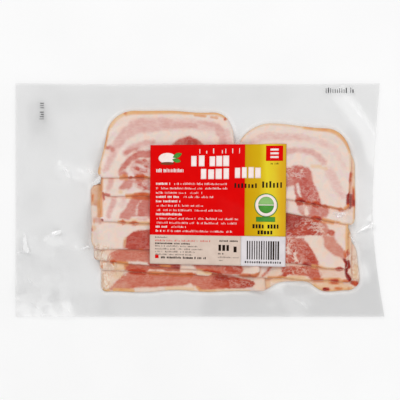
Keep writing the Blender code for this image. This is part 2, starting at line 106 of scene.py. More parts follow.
# What shows on each slice, painted in this order. A stroke is a kind, a strength and a path of points, each
# with its half width. An edge stroke is a stain that follows the outline, counter-clockwise, between its two
# points. An area of lean and a wash of stain are given by their corners.
MARKS = {
    "left_1": (
        ("edge", 0.36, (20, 61.5, 1.3), (-8, 64.4, 1.4)),
        ("edge", 0.34, (-8, 64.4, 1.7), (-57, 66.5, 2.6)),
        ("edge", 0.16, (-58, 66, 2), (-68, 55, 2.4)),
        ("edge", GOLD, (-68, 55, 1.1), (-71, 48, 1.2)),
        ("edge", AMBER, (-71, 48, 1), (-72.3, 41, 1.1)),
        ("edge", TAN, (-72.5, 40, 0.9), (-76, 24, 0.9)),
        ("edge", GOLD, (-76, 24, 1.5), (-77.4, 18.5, 1.8)),
        ("stain", BROWN, (-56.6, 66, 1.2)),
        ("stain", AMBER, (-4, 64.4, 0.9), (4, 63.6, 1)),
        ("stain", AMBER, (8.5, 62.9, 0.7), (13, 62.2, 0.8)),
        ("stain", RUSSET, (19, 61.2, 1)),
        ("stain", GOLD, (-73.3, 36.5, 0.5), (-74.6, 30, 0.5)),
        ("lean", PALE, (20.5, 43, 4.4), (18, 50, 4.4), (12, 54.5, 3.8), (-6, 57.4, 3.8), (-24, 57.6, 4.6)),
        ("lean", 0.15, (-24, 57.6, 4.4), (-38, 56.8, 5.6), (-48, 56, 5.4), (-55.4, 51.4, 4.6),
         (-60.7, 45, 3.6),
         (-65, 37.3, 3.2), (-68, 30.4, 2.5), (-70.7, 24.3, 2.1), (-72.6, 22, 1.4)),
        ("lean", MAUVE, (-26, 57, 1.6), (-4, 56.4, 1.4)),
        ("lean", MAUVE, (0, 59.6, 1.2), (11.5, 57.2, 1.6)),
        ("lean", MAUVE, (14, 55, 2.2), (16.5, 48, 2.4), (17, 43, 2.6)),
        ("lean", MAUVE, (-36, 43.8, 2.2), (-45.5, 41.6, 2.4), (-52.4, 39.2, 2.6), (-56.4, 35.7, 2.2)),
        ("lean", PINK, (-55.5, 36, 1.2), (-48, 38, 0.8)),
        ("lean", ROSE, (-36, 34.6, 3.2), (-45.5, 34.7, 2.8), (-50.9, 31.8, 2.5), (-54.6, 28.5, 2.3),
         (-58.4, 24.6, 2), (-60.3, 21.6, 1.5)),
        ("area", MAUVE, (-52, 28), (-47, 31), (-36, 31.5), (-36, 18.5), (-49.5, 19), (-53, 22)),
        ("lean", ROSE, (-47.5, 29.6, 1), (-44.5, 28, 1.1)),
        ("lean", BRICK, (-42, 29.6, 1.1), (-40.2, 26, 1.1)),
        ("lean", BRICK, (-48.5, 23.9, 0.8), (-44, 22, 1.1), (-41.5, 22.2, 0.8)),
        ("fat", 1, (-46.5, 26.6, 0.4), (-41, 23.6, 0.3)),
        ("marble", 0.6, (-49, 26, 3.4), (-37, 25, 6)),
        ("lean", PINK, (-60.5, 19.6, 1.3), (-58, 20.8, 1.6), (-55.5, 19.6, 1.2)),
        ("area", ROSE, (-21.2, 42.6), (-16.6, 45.6), (-12.8, 47.6), (-7.5, 48.7), (-3, 46.6), (0, 44.8),
         (2.4, 42.4), (2.4, 36), (-22.7, 36)),
        ("lean", RED, (-9, 44.4, 2.4), (-5, 43.4, 2.4)),
        ("lean", ROSE, (-72.2, 39.4, 1), (-69.6, 39.6, 1.3)),
        ("lean", PINK, (-68, 40.6, 0.9), (-66, 38.4, 1.1)),
        ("edge", AMBER, (-60, 16.9, 1.2), (-55, 16.5, 1.6)),
        ("stain", 0.6, (-57.4, 18.4, 1.6), (-56.4, 16.8, 2)),
        ("edge", RUSSET, (-54, 16.5, 1), (-50.6, 16.4, 1)),
        ("edge", 0.76, (-49.6, 16.4, 2), (-41, 16, 1.7)),
        ("lean", RED, (-48.6, 17.6, 0.9), (-40, 17.4, 1)),
        ("edge", AMBER, (-42, 16, 0.8), (-36, 16, 0.8)),
    ),
    "left_2": (
        ("edge", AMBER, (-75, 18, 1), (-74.6, 7, 1)),
        ("lean", MAUVE, (-67, 18, 2), (-68, 12, 2), (-69.6, 7.6, 1.5)),
        ("area", 0.38, (-61.8, 8.2), (-58, 13.4), (-53.6, 16.4), (-49.8, 15), (-51, 11.4), (-53.6, 8),
         (-58, 7.4)),
        ("lean", PINK, (-57.4, 10.4, 1.4), (-53.4, 10, 1.2)),
        ("area", 0.32, (-50, 14.8), (-44, 15.4), (-36, 15.4), (-36, 6.6), (-43, 7.2), (-48.6, 9.4)),
        ("lean", BRICK, (-45.6, 12, 0.9)),
        ("lean", BRICK, (-41.6, 9.4, 0.9)),
        ("marble", 0.7, (-46, 11.5, 3), (-36, 11, 4)),
        ("stain", TAN, (-60, 6, 1.7)),
        ("lean", ROSE, (-71.2, 4.6, 1.2), (-69, 3.6, 1.1)),
        ("stain", BROWN, (-73.4, 5.4, 0.9), (-72.4, 3.2, 0.9)),
        ("edge", AMBER, (-56, 2.9, 1.2), (-49.5, 2.7, 1.7)),
        ("edge", 0.7, (-51.6, 2.7, 1.6), (-36, 2.4, 2.1)),
        ("lean", RED, (-46, 4.6, 0.7), (-36, 4.4, 0.9)),
    ),
    "left_3": (
        ("edge", 0.47, (-75.5, 12, 1.7), (-75.4, -13, 1.8)),
        ("stain", RUSSET, (-73.2, 4, 0.8), (-72.6, 0.5, 0.9)),
        ("stain", BURNT, (-73.9, -15.2, 1.1)),
        ("lean", MAUVE, (-64.4, 4, 2), (-65.4, -2, 2), (-67.6, -7, 1.8), (-69, -12, 1.8)),
        ("lean", PALE, (-57.6, 1, 1.8), (-59, -4, 1.8)),
        ("area", PINK, (-51.6, 3), (-55.4, -4.6), (-60, -10.6), (-60.7, -13.7), (-53.1, -15.6),
         (-51.6, -12.6),
         (-48.6, -12), (-40.2, -13), (-36, -14), (-36, 3)),
        ("area", ROSE, (-47, 1), (-46.6, -11.6), (-40.2, -12.6), (-36, -13.4), (-36, 1)),
        ("fat", 1, (-44.8, -0.8, 0.3), (-47.6, -4.6, 0.5), (-47.8, -11.2, 0.5)),
        ("stain", TAN, (-52, -14.8, 0.9), (-48, -14.8, 1)),
        ("lean", MAUVE, (-47, -14.4, 0.9), (-41, -14.6, 1)),
        ("edge", GOLD, (-62, -16.9, 0.9), (-36, -17.9, 1.2)),
        ("edge", 0.74, (-60.5, -17, 1.2), (-56.5, -17.1, 1.7)),
        ("edge", 0.76, (-52.5, -17.3, 0.8), (-46, -17.5, 1.2)),
    ),
    "left_4": (
        ("area", 0.17, (-83.4, 12.6), (-74, 12.6), (-74, -6), (-77, -6), (-79, -3.6), (-83, -4.4)),
        ("wash", TAN, (-83.4, 12.6), (-74, 12.6), (-74, -6), (-77, -6), (-79, -3.6), (-83, -4.4)),
        ("stain", TAN, (-79, 9, 1.8)),
        ("stain", BROWN, (-81.4, 3.8, 0.8), (-81.6, -1, 0.7)),
        ("lean", PINK, (-78.8, -2.6, 1.4), (-76.4, -4.4, 1.3)),
        ("lean", MAUVE, (-79.6, -14.6, 1.4), (-76, -15.6, 2.4)),
        ("stain", AMBER, (-80.2, -15.4, 0.5), (-80.2, -17.2, 0.5)),
        ("wash", GOLD, (-82.6, -19), (-78.6, -19), (-78.4, -22.6), (-80.4, -24.4), (-82.8, -23.6)),
        ("stain", RUSSET, (-82, -21.4, 0.6), (-81.8, -22.8, 0.7)),
        ("area", RED, (-36, -22), (-45.5, -22.8), (-50.9, -24.3), (-54.6, -27.4), (-57.4, -31.2),
         (-58, -35),
         (-57.7, -39), (-36, -40)),
        ("lean", 0.79, (-42.5, -29, 1.4), (-41, -34, 1.8), (-37, -33, 2.4)),
        ("stain", TAN, (-56.6, -29, 0.9), (-57.2, -35, 1)),
        ("stain", BROWN, (-45.4, -37, 0.4), (-43.6, -37.6, 0.4), (-42, -38.2, 0.4)),
        ("edge", TAN, (-83.2, -26, 0.5), (-80.4, -36, 0.7)),
        ("crinkle", 0.8, (-79, -36, 2.6), (-68, -37.4, 2.2)),
        ("fat", 1, (-62, -37.3, 0.7), (-55, -37.7, 0.6)),
    ),
    "left_5": (
        ("crinkle", 1, (-78, -41, 5), (-72, -44, 4)),
        ("stain", BROWN, (-80.8, -42.6, 0.5), (-78.8, -46, 0.6)),
        ("area", ROSE, (-70.2, -47.1), (-70.8, -43), (-67.6, -39.8), (-62.2, -37), (-36, -37), (-36, -49.4),
         (-55.4, -48.4), (-66, -47.4)),
        ("lean", PINK, (-69, -43, 1.4), (-66.6, -43.8, 1.5)),
        ("edge", 0.74, (-67.4, -46.9, 1.3), (-63, -47.4, 1.7)),
        ("edge", AMBER, (-62.5, -47.4, 1), (-55, -48, 1.3)),
        ("fat", 1, (-54.6, -47.2, 1), (-46, -47.6, 1), (-40, -48.3, 0.9)),
        ("area", 0.8, (-39, -49.4), (-38, -48), (-15, -48), (-14.6, -51.2), (-17, -53), (-38, -52)),
        ("stain", AMBER, (-29.4, -49.6, 0.8), (-23, -49.8, 1)),
        ("lean", DEEP, (-18.4, -51.4, 0.8), (-16.4, -51.4, 0.8)),
        ("area", 0.57, (-6.4, -48), (31, -49), (33.4, -52.4), (30.5, -57), (18, -56), (9, -54.6),
         (-3.4, -52.4)),
        ("lean", 0.7, (20, -51, 2), (29, -52.6, 2.4)),
        ("stain", GOLD, (-2, -52.8, 0.7), (8, -54.2, 0.8)),
        ("stain", BROWN, (4.8, -53.4, 0.8), (7, -53.8, 0.8)),
        ("marble", 0.4, (20, -52, 2), (29, -54, 2)),
        ("edge", RUSSET, (2.6, -54, 0.9), (17, -55.4, 0.9)),
        ("edge", BROWN, (30, -57, 0.6), (50, -58.8, 0.6)),
        ("stain", BURNT, (37.4, -57, 0.8)),
    ),
    "left_6": (
        ("crinkle", 1, (-73, -48, 4), (-66, -50, 4)),
        ("stain", BROWN, (-74.2, -49.6, 0.7), (-74, -51, 0.6)),
        ("wash", TAN, (-66, -47), (-57, -47), (-56, -53.6), (-65, -53)),
        ("stain", GOLD, (-64, -52.6, 0.7), (-57, -51.6, 0.8)),
        ("area", BRICK, (-58, -46.6), (-16, -49), (-15, -54), (-36, -54.6), (-49.3, -54.4), (-57, -53.4)),
        ("lean", 0.67, (-52, -51, 1.8), (-42, -52, 1.8)),
        ("fat", 1, (-38, -53.3, 0.9), (-31, -53.6, 1.1), (-25, -54.6, 1), (-18, -55, 0.8)),
        ("lean", RED, (-8.6, -56.6, 1.3), (-3, -56.8, 1.2)),
        ("edge", RUSSET, (-54.4, -54.2, 1.2), (-40, -55, 1.3)),
        ("edge", BROWN, (-40, -55, 0.7), (-4, -57.1, 0.8)),
        ("stain", AMBER, (-35.5, -55, 0.7), (-30, -55.2, 0.7)),
        ("stain", TAN, (-2, -55.2, 0.9), (8, -56, 1)),
    ),
    "left_7": (
        ("crinkle", 1, (-72, -56, 3.6), (-72, -66, 3)),
        ("crinkle", 0.7, (-66, -55, 4), (-60, -56, 3.4)),
        ("wash", TAN, (-66, -54), (-57, -54), (-60, -59), (-65, -61)),
        ("area", ROSE, (-71, -68.6), (-64.5, -63), (-59, -57.6), (-53, -54), (-19, -55), (20, -56),
         (24, -67),
         (10, -68), (0.6, -68), (-3, -65.4), (-7, -63.6), (-12, -65), (-34, -66), (-49.3, -66.6),
         (-58, -68.6)),
        ("lean", PINK, (-67, -67, 1), (-56, -64.6, 2)),
        ("area", 0.77, (22.4, -58.6), (31, -60), (40.6, -61.4), (41.6, -64), (39, -66.4), (30, -67.2),
         (22, -67.2)),
        ("lean", 0.68, (12, -62, 3), (24, -62.4, 4)),
        ("lean", 0.84, (12.6, -58.8, 1.2), (17, -59, 1.8), (20.6, -59.4, 1.2)),
        ("marble", 0.5, (25, -62.4, 1.8), (36, -63.6, 1.8)),
        ("stain", RUSSET, (20, -57.6, 0.5), (24.4, -58.6, 0.7), (30.5, -60, 0.8), (38, -61.2, 0.6)),
        ("edge", GOLD, (-74, -68.6, 1), (-69, -69.5, 1.3)),
        ("edge", GOLD, (-66, -69.5, 2), (-50, -69.5, 2)),
        ("edge", TAN, (-26, -69.4, 2), (-5, -69.4, 2)),
        ("stain", AMBER, (-2.2, -66.2, 0.9), (0, -68, 1)),
        ("edge", GOLD, (1, -69.3, 1), (13, -69.3, 1)),
        ("edge", TAN, (13, -69.2, 0.9), (38, -69.2, 0.9)),
    ),
    "right_1": (
        ("edge", BURNT, (113, -6.4, 2), (113.6, 5, 1.5)),
        ("edge", 0.8, (114, 12, 0.4), (114.4, 22, 0.4)),
        ("edge", AMBER, (113.8, 6, 0.3), (114, 12, 0.3)),
        ("edge", TAN, (114.6, 22, 1), (115, 36, 1)),
        ("edge", 0.38, (115, 36, 1.3), (106, 50, 2.7)),
        ("edge", 0.38, (106, 50, 2.7), (88, 55.2, 2)),
        ("edge", 0.34, (88, 55.2, 2), (79, 56.4, 1.4)),
        ("edge", TAN, (79, 56.4, 1.2), (49, 58.9, 1.1)),
        ("edge", TAN, (49, 58.9, 0.7), (30, 45, 0.8)),
        ("stain", AMBER, (111.8, 42, 0.8)),
        ("stain", AMBER, (80.5, 55.4, 0.6), (85, 54.8, 0.8)),
        ("stain", AMBER, (90.5, 53.4, 0.6), (95.5, 52.8, 0.6)),
        ("stain", TAN, (31.4, 47, 1.2)),
        ("lean", PALE, (39.6, 43.3, 1.8), (42.6, 45.6, 2), (47.2, 47.7, 2.5), (53.3, 48.4, 2.8),
         (64.7, 47.6, 2.5),
         (78, 47.3, 2.3), (84.5, 45.4, 1.5)),
        ("lean", FAINT, (84.5, 45.2, 1.6), (91, 44, 1.8)),
        ("lean", PALE, (92, 43.8, 2), (96.6, 41.8, 2.2)),
        ("lean", FAINT, (98.6, 40.8, 2), (102.6, 38.6, 1.8), (106.6, 30, 1.1), (109.6, 23.6, 0.9)),
        ("lean", MAUVE, (65, 36.4, 2.2), (72, 37.9, 2), (79, 37.5, 2.1), (84.5, 36.4, 2.3),
         (89.6, 32.8, 2.5),
         (93.4, 28.8, 2.4)),
        ("lean", PALE, (98, 22, 3.2), (101.5, 14.5, 3.2), (104.5, 8, 3), (108.5, 3.5, 2.6),
         (111, 1.5, 1.4)),
        ("stain", TAN, (85, 25.6, 1.3), (91, 25.4, 1.4)),
        ("stain", TAN, (92, 24.4, 0.9), (96, 23.6, 1)),
        ("area", 0.57, (62, 23), (66, 24.3), (72.3, 26.4), (76, 26.6), (82.2, 24.3), (84.4, 21.3),
         (85.2, 15.2),
         (87.5, 9.9), (89.8, 4.6), (91.3, -0.8), (92, -4), (73, -2), (70.8, 10.6), (62, 10)),
        ("lean", PINK, (67, 20, 2), (67.6, 13, 2)),
        ("lean", 0.65, (79, 14, 2.2), (79.5, 6, 2.8), (79.5, 1, 2.8)),
        ("marble", 0.9, (68, 20, 3), (76, 21, 3)),
        ("marble", 0.4, (80, 8, 2), (82, -1, 2)),
        ("marble", 0.5, (86.6, 5, 2.4), (88.6, 0, 2.4)),
        ("fat", 1, (74, 12, 0.9), (74.6, 6, 1.2), (76.2, 2.6, 0.5)),
        ("edge", RUSSET, (72.8, -0.7, 2.6), (79, -2, 1.9)),
        ("edge", 0.78, (79, -2, 0.9), (84, -2.9, 0.9)),
        ("edge", RUSSET, (84, -2.9, 1.7), (92, -4.3, 1.2)),
        ("stain", BURNT, (76, -0.6, 1.3), (78.8, -1.2, 1.3)),
        ("stain", BURNT, (85, -2.8, 0.9), (87, -3.1, 0.8)),
        ("edge", 0.74, (92, -4.3, 0.5), (97, -5.3, 0.4)),
        ("edge", AMBER, (97, -5.3, 0.6), (104, -6.7, 0.6)),
        ("edge", BROWN, (104, -6.7, 0.6), (109, -7.8, 0.9)),
        ("stain", AMBER, (109.8, -6.6, 1.5), (112.2, -4.4, 1.3)),
    ),
    "right_2": (
        ("lean", PALE, (116, -8, 1.4), (115.8, 30, 1.4)),
        ("edge", TAN, (117.6, -18, 1.2), (117.3, 34, 1.3)),
        ("edge", AMBER, (117.9, -14, 0.6), (117.8, -5, 0.6)),
        ("stain", AMBER, (116.2, 9.5, 1), (116.2, 6, 1)),
        ("stain", 0.82, (116.4, 8, 0.8), (116.8, -4, 1.4)),
        ("stain", BURNT, (116.7, -0.5, 0.7), (116.9, -3.6, 0.7)),
        ("area", 0.44, (72.6, -1), (97.4, -3), (97.8, -9), (96, -13), (88, -14.4), (80, -13),
         (76, -10.6), (73.6, -5)),
        ("fat", 1, (80.2, -5.6, 1.2), (80.8, -10.4, 1.7)),
        ("marble", 0.7, (78, -5, 2), (84, -5, 2)),
        ("marble", 0.5, (85.4, -10, 2.6), (90, -12, 2)),
        ("edge", RUSSET, (84, -13.6, 1.5), (93, -15.2, 1.4)),
        ("stain", BURNT, (88.6, -14.4, 0.7), (90, -14.8, 0.7)),
        ("edge", AMBER, (93, -15.2, 1.6), (101, -16.8, 1.3)),
        ("stain", AMBER, (103, -16.6, 0.9), (105.4, -17.2, 1.1)),
        ("edge", TAN, (106, -17.8, 0.6), (117, -19, 0.6)),
    ),
    "right_3": (
        ("edge", GOLD, (112, -40, 1.6), (112, -14, 1.7)),
        ("edge", RUSSET, (112, -42, 1), (112, -37.4, 1)),
        ("area", RED, (62, -9), (83.7, -12), (95, -17), (98, -24.3), (95.8, -27.4), (85, -26.6),
         (76, -27.4),
         (62, -29)),
        ("area", 0.87, (62, -8), (76, -9), (76.4, -17), (71, -22), (62, -23)),
        ("lean", DEEP, (74, -12, 1), (83, -13.4, 0.9)),
        ("lean", PINK, (92.4, -18, 2), (95, -23, 2.6)),
        ("marble", 0.9, (78, -19, 3.6), (91, -21.6, 3.6)),
        ("marble", 0.5, (66, -26, 2), (74, -26, 2)),
        ("lean", 0.66, (98.8, -24.8, 2.3), (99.6, -25.2, 2.4)),
        ("area", BRICK, (62, -28), (78.4, -28.9), (83.7, -35.7), (87.5, -41.8), (89.7, -47.1),
         (89.7, -52), (62, -54)),
        ("lean", RED, (82, -40, 2.4), (84.6, -48, 2.6)),
        ("lean", RED, (71.6, -36, 1), (71.6, -38, 1)),
        ("lean", DEEP, (79.4, -48.8, 1), (81, -48.8, 1)),
        ("marble", 1, (66, -34, 4), (71, -46, 5)),
        ("marble", 0.4, (77, -33, 3), (79, -42, 3)),
        ("fat", 1, (66.4, -36, 0.9), (67, -40, 1.1)),
        ("fat", 1, (71.4, -40.6, 0.7), (72.6, -46, 0.9)),
        ("area", 0.4, (92.6, -26.6), (101.2, -27.4), (104.2, -32.7), (108, -37.2), (110.6, -41.4),
         (109.8, -45.2),
         (103, -42.4), (98.8, -40), (94.2, -35.7)),
        ("stain", BROWN, (109.4, -38.8, 0.8), (110, -43, 1.1)),
        ("stain", BURNT, (109, -45, 1.1), (111.2, -48, 1.8), (111.2, -52.6, 1.6)),
        ("edge", GOLD, (85, -50, 1), (92.5, -50.9, 1)),
        ("edge", BROWN, (88, -50.4, 0.9), (91, -50.7, 0.9)),
        ("edge", GOLD, (92.5, -50.9, 0.5), (102, -51.9, 0.5)),
        ("edge", RUSSET, (102, -51.9, 0.6), (108.5, -52.6, 0.8)),
    ),
    "right_4": (
        ("lean", FAINT, (94, -55, 2.6), (106, -56, 3)),
        ("lean", RED, (12, -56, 1.6), (30, -57.2, 1.6), (42, -58.2, 1)),
        ("lean", ROSE, (47, -57.6, 0.8), (50.6, -54.4, 0.9), (53.4, -50.6, 0.9)),
        ("area", ROSE, (62, -54), (80, -54), (84, -58), (76, -57.4), (62, -57)),
        ("area", BRICK, (62, -50), (87, -50), (90, -53), (91.6, -58), (90, -60.4), (84, -60),
         (80, -55.6), (62, -55)),
        ("marble", 0.7, (66, -53.6, 2.6), (78, -53.6, 2.6)),
        ("lean", RED, (58, -60, 0.9), (63, -57.6, 1.3), (67, -55, 1.6)),
        ("stain", 0.14, (68, -58.4, 1), (79, -58.8, 1.1)),
        ("edge", AMBER, (52, -59, 0.9), (62, -59.6, 1)),
        ("edge", GOLD, (62, -59.7, 0.6), (84, -60.8, 0.6)),
        ("edge", BROWN, (84, -60.7, 0.8), (95, -61.4, 0.8)),
        ("edge", GOLD, (94, -61.3, 1.5), (108, -62.1, 1.5)),
        ("stain", AMBER, (97.6, -60.8, 1.9), (105, -60.8, 2.1)),
        ("stain", RUSSET, (100, -61.4, 1.5), (103.4, -61.2, 1.7)),
        ("stain", BROWN, (108.8, -61.4, 1.3), (113.4, -61.4, 1.3)),
        ("stain", BURNT, (112.4, -46.6, 1.1), (112.8, -50.6, 1.5)),
        ("stain", BURNT, (111, -52.6, 1.4), (110.6, -55.4, 1), (111.8, -57.5, 1.7), (113.8, -60.6, 1.7)),
    ),
    "right_5": (
        ("crinkle", 1, (118, -46, 4), (117, -60, 4)),
        ("stain", TAN, (118.6, -50, 1.4), (118, -58, 1.4)),
        ("wash", 0.2, (84, -63), (113, -64), (115, -70), (84, -70)),
        ("stain", AMBER, (98, -63, 1), (105, -63.2, 1.2)),
        ("stain", 0.76, (100.2, -62.8, 1.3), (103.6, -62.8, 1.4)),
        ("edge", 0.26, (84, -69, 1.8), (116, -68.4, 2)),
        ("stain", BURNT, (94.4, -67.6, 1.5), (97.2, -67.7, 1.4)),
        ("stain", BROWN, (103, -67.2, 1.3), (106.8, -67.2, 1.4)),
        ("stain", BROWN, (112.8, -66.8, 0.7), (112.8, -68, 0.6)),
        ("stain", 0.8, (115.8, -62.8, 1.7), (118.6, -63.4, 2.1)),
        ("stain", RUSSET, (117.4, -64.6, 1), (119.6, -63.4, 0.9)),
        ("wash", GOLD, (49, -60), (53.6, -60), (53.6, -66.6), (49, -66.6)),
        ("stain", BROWN, (50, -60.6, 0.5), (53.4, -60.4, 0.6)),
        ("lean", MAUVE, (51, -68, 0.9)),
        ("stain", TAN, (56, -61.4, 1.4), (62, -60.6, 1.2)),
    ),
}

# Strokes: a depth that counts as outside all of them, how far their strength fades in and that of marbling,
# the share that a wash covers, and how red lean is where no streak says.
FAR = 12
BLEND = 1.4
MARBLE_BLEND = 4
WASH_SHARE = 0.6
DEFAULT_TONE = 0.2
# Stains: how soft a pale and a dark one are, the least share that one covers, the steps over which a dark one
# on an edge tapers, how much wider than given a pale and a dark one on an edge are, and how much of its
# colour the slices below take on next to that edge, as painted shade.
STAIN_SOFTEST = 1.2
STAIN_SHARPEST = 0.5
STAIN_THINNEST = 0.74
STAIN_TAPER = 3
STAIN_SPREAD = 0.5
DARK_SPREAD = 1
EDGE_SHADE_SHARE = 0.85
# How far onto a slice the shade of one on top of it reaches.
CONTACT_REACH = 1.8 * MM
# The noise's lattice and its shift, and what the triangulation is asked for.
LATTICE = 256
LATTICE_SHIFT = 100
TRIANGLES_INSIDE = 1
TOUCHING = 1e-7

# Relief of a slice's top, and its rim: how far in and how far down each row of the rim is, in millimetres.
LEAN_SINK = 0.1 * MM
BUMP_HEIGHT = 0.09 * MM
BUMP_SIZE = 6 * MM
GRAIN_HEIGHT = 0.035 * MM
GRAIN_SIZE = 1.8 * MM
GRAIN_SEED = 100
SLICE_STEP = 1.1 * MM
RIM = ((1.9, 0.0), (1.2, 0.16), (0.65, 0.5), (0.25, 1.0), (0.0, 1.6), (0.05, 2.2), (0.12, 2.5))
RIM_INNER = RIM[0][0] * MM
CRINKLE_HEIGHT = 0.2 * MM
CRINKLE_SIZE = 3.4 * MM
CRINKLE_STRETCH = (1.3, 0.6)
CRINKLE_SEED = 200
# How far from its outline a slice's inner points stay, as a share of their step.
RING_CLEARANCE = 0.55

# The film: how steeply it comes down from an edge, how far it stands off the meat and its folds.
FILM_STEP = 1.25 * MM
FILM_SLOPE = 1.33
FILM_REACH = 9 * MM
FILM_GAP = 0.3 * MM
FILM_FLOOR = 0.05 * MM
FILM_SOFT = 2.4 * MM
FILM_WRINKLE = 0.12 * MM
WRINKLE_SIZE = 7 * MM
WRINKLE_STRETCH = (1, 0.6)
WRINKLE_SEED = 31
LEAST_WRINKLE = 0.15
LEAST_BORDER = 0.1
LEAST_THICKNESS = 0.8 * BORDER_THICKNESS
CREASE_SOFT = 1.3
CREASE_RAGGED = 0.35
CREASE_SIZE = 2.2 * MM
CREASE_SEED = 57
CREASE_START = 0.35
# Round ridges in the border: each one's two ends, its half width and its height.
RIDGES = (
    ((112, -25), (133, -17), 5, 2.6),
    ((114, -26), (122, -44), 5, 1.8),
    ((103, 80), (134, 38), 9, 2.2),
    ((-136, -30), (-92, -38), 8, 1.6),
    ((-84, 14), (-104, 25), 5, 1.8),
    ((-140, -66), (-104, -88), 8, 2.4),
    ((-120, 60), (-112, 30), 11, 1.5),
    ((20, -88), (80, -80), 9, 1.2),
    ((-60, 88), (30, 80), 10, 1.2),
)
# Sharp creases in the film: how white each one's painted highlight is, its height, and its path with half
# widths.
CREASES = (
    (1.0, 0.6, (119, -25, 0.9), (124, -22.5, 1.3), (130, -19.5, 1.6), (132, -16, 1.2)),
    (0.9, 0.5, (113.5, -27, 1.3), (116, -30, 1.2), (118.5, -33.5, 0.6)),
    (0.6, 0.3, (113, -24, 0.8), (119, -25, 1)),
    (0.8, 0.4, (129, -7, 0.7), (132, -8.5, 0.9)),
    (0.9, 0.5, (-132.6, -25, 0.5), (-133, -31, 1.8), (-132, -38, 2.6)),
    (0.8, 0.4, (-139, -39.5, 0.7), (-131, -39.8, 0.9), (-124, -38, 0.6)),
    (0.75, 0.3, (-129, -33.5, 0.4), (-122, -34, 0.5)),
    (0.7, 0.3, (-125, -38, 0.7), (-120.5, -32.5, 0.9), (-114, -27, 0.8), (-110, -25, 1.2)),
    (0.95, 0.4, (-110.4, -25.6, 1.7), (-107, -24.4, 1.9)),
    (0.8, 0.3, (-81.4, 11.6, 1.6), (-78, 14.4, 3.2), (-75.8, 17.6, 1.6)),
    (0.7, 0.3, (-79, 19.4, 0.7), (-72.6, 20.6, 0.8), (-67, 21.2, 0.4)),
    (0.8, 0.3, (-104, 25, 1.2), (-101, 22.5, 2), (-99.5, 18, 1.2)),
    (0.75, 0.3, (-87.5, 24.5, 0.9), (-83, 21.5, 1.7), (-79.5, 18.5, 0.8)),
    (0.65, 0.2, (-107.5, -4.6, 0.8), (-98, -6.4, 0.4), (-87, -4.6, 0.7)),
    (0.9, 0.4, (-89, -37, 1.2), (-85, -35.4, 1.5)),
    (0.6, 0.2, (-112, -38.5, 1), (-111, -49, 1.3)),
    (0.7, 0.4, (-131, -59, 0.8), (-125, -64.5, 1.1), (-119, -62, 0.7)),
    (0.7, 0.5, (-139, -75.5, 0.9), (-127, -78.5, 0.8), (-119, -87.5, 0.9)),
    (0.7, 0.5, (-119, -87, 0.8), (-114, -76, 0.9), (-104, -71.5, 0.8), (-97.5, -70.5, 0.5)),
    (0.7, 0.5, (-112.5, -79, 0.8), (-106, -77.5, 0.9), (-98, -87, 0.8)),
    (0.6, 0.4, (-97, -70, 0.7), (-97.5, -77, 0.5)),
    (0.65, 0.4, (71, -74, 1), (76, -78, 1.2), (83.5, -86.5, 0.8)),
    (0.7, 0.2, (100.5, -9.6, 1.4), (104, -11.6, 2.6), (109.5, -10.2, 2.2)),
    (0.6, 0.2, (-84, 30, 0.4), (-80.5, 39, 0.5)),
    (0.62, 0.2, (-77.6, -42, 0.5), (-73.4, -37.6, 0.4)),
    (0.6, 0.2, (-75, -47.6, 0.5), (-75.8, -56, 0.35), (-75.2, -65, 0.4)),
    (0.55, 0.2, (-69.8, -66.6, 0.4), (-64.6, -62.6, 0.4), (-60.4, -58.4, 0.3)),
    (0.55, 0.2, (-66.6, -52, 0.5), (-62.4, -48, 0.4)),
    (0.6, 0.2, (117.4, -49, 0.4), (118.6, -54, 0.5), (118.2, -58.6, 0.4)),
    (0.55, 0.2, (120.4, -52, 0.4), (120.8, -59, 0.5)),
)
# Soft patches of painted light and shade on the film, where it is made paler or darker: how pale, how far it
# fades, and its path with half widths.
SHADES = (
    (-0.26, 9, (-123, 68, 5), (-122, 58, 5)),
    (-0.12, 12, (-116, 78, 9), (-120, 50, 8)),
    (-0.1, 8, (-126, 0, 6), (-128, -6, 5)),
    (0.2, 5, (-103, 22, 4), (-84, 21, 5)),
    (-0.14, 7, (-132, -47, 4), (-100, -46, 7)),
    (-0.18, 6, (-134, -70, 3), (-112, -73, 4)),
    (-0.14, 10, (-98, -76, 4), (-80, -80, 8)),
    (0.42, 4, (-134, -84, 5), (-126, -86, 3)),
    (0.34, 5, (-113, -84, 3), (-102, -84, 5)),
    (-0.24, 16, (-60, -82, 12), (20, -84, 14)),
    (-0.48, 16, (20, -84, 12), (70, -84, 12)),
    (-0.6, 5, (68, -67, 3), (82, -67, 2)),
    (0.2, 6, (62, -66, 3), (76, -82, 8)),
    (-0.55, 14, (96, -82, 10), (134, -76, 14)),
    (-0.3, 12, (128, -60, 8), (127, -40, 6)),
    (0.38, 5, (103, 80, 2), (116, 66, 3), (127, 50, 3.5), (132, 30, 3)),
    (-0.16, 7, (116, 48, 4), (121, 26, 5)),
    (0.06, 6, (128, 8, 3), (129, -4, 3)),
    (0.4, 4, (124, -52, 2), (126, -60, 3)),
    (-0.14, 6, (-78, 34, 3), (-79, 24, 2)),
    (-0.2, 6, (-80, -2, 2), (-88, -22, 5), (-84, -30, 4)),
    (-0.12, 9, (-100, 75, 6), (60, 80, 6)),
)
# Where the film has small facets of painted light and shade, as crumpled film shows: how much, how far it
# fades, and its path with half widths.
CRUMPLES = (
    (1.0, 8, (-134, -80, 8), (-108, -80, 8)),
    (0.7, 8, (-136, -38, 6), (-112, -30, 6)),
    (0.45, 9, (-134, -60, 5), (-112, -58, 6)),
    (0.3, 8, (-104, 20, 6), (-84, 18, 5)),
    (0.5, 7, (116, -26, 4), (128, -30, 6)),
    (0.35, 9, (122, -58, 5), (118, -76, 6)),
)

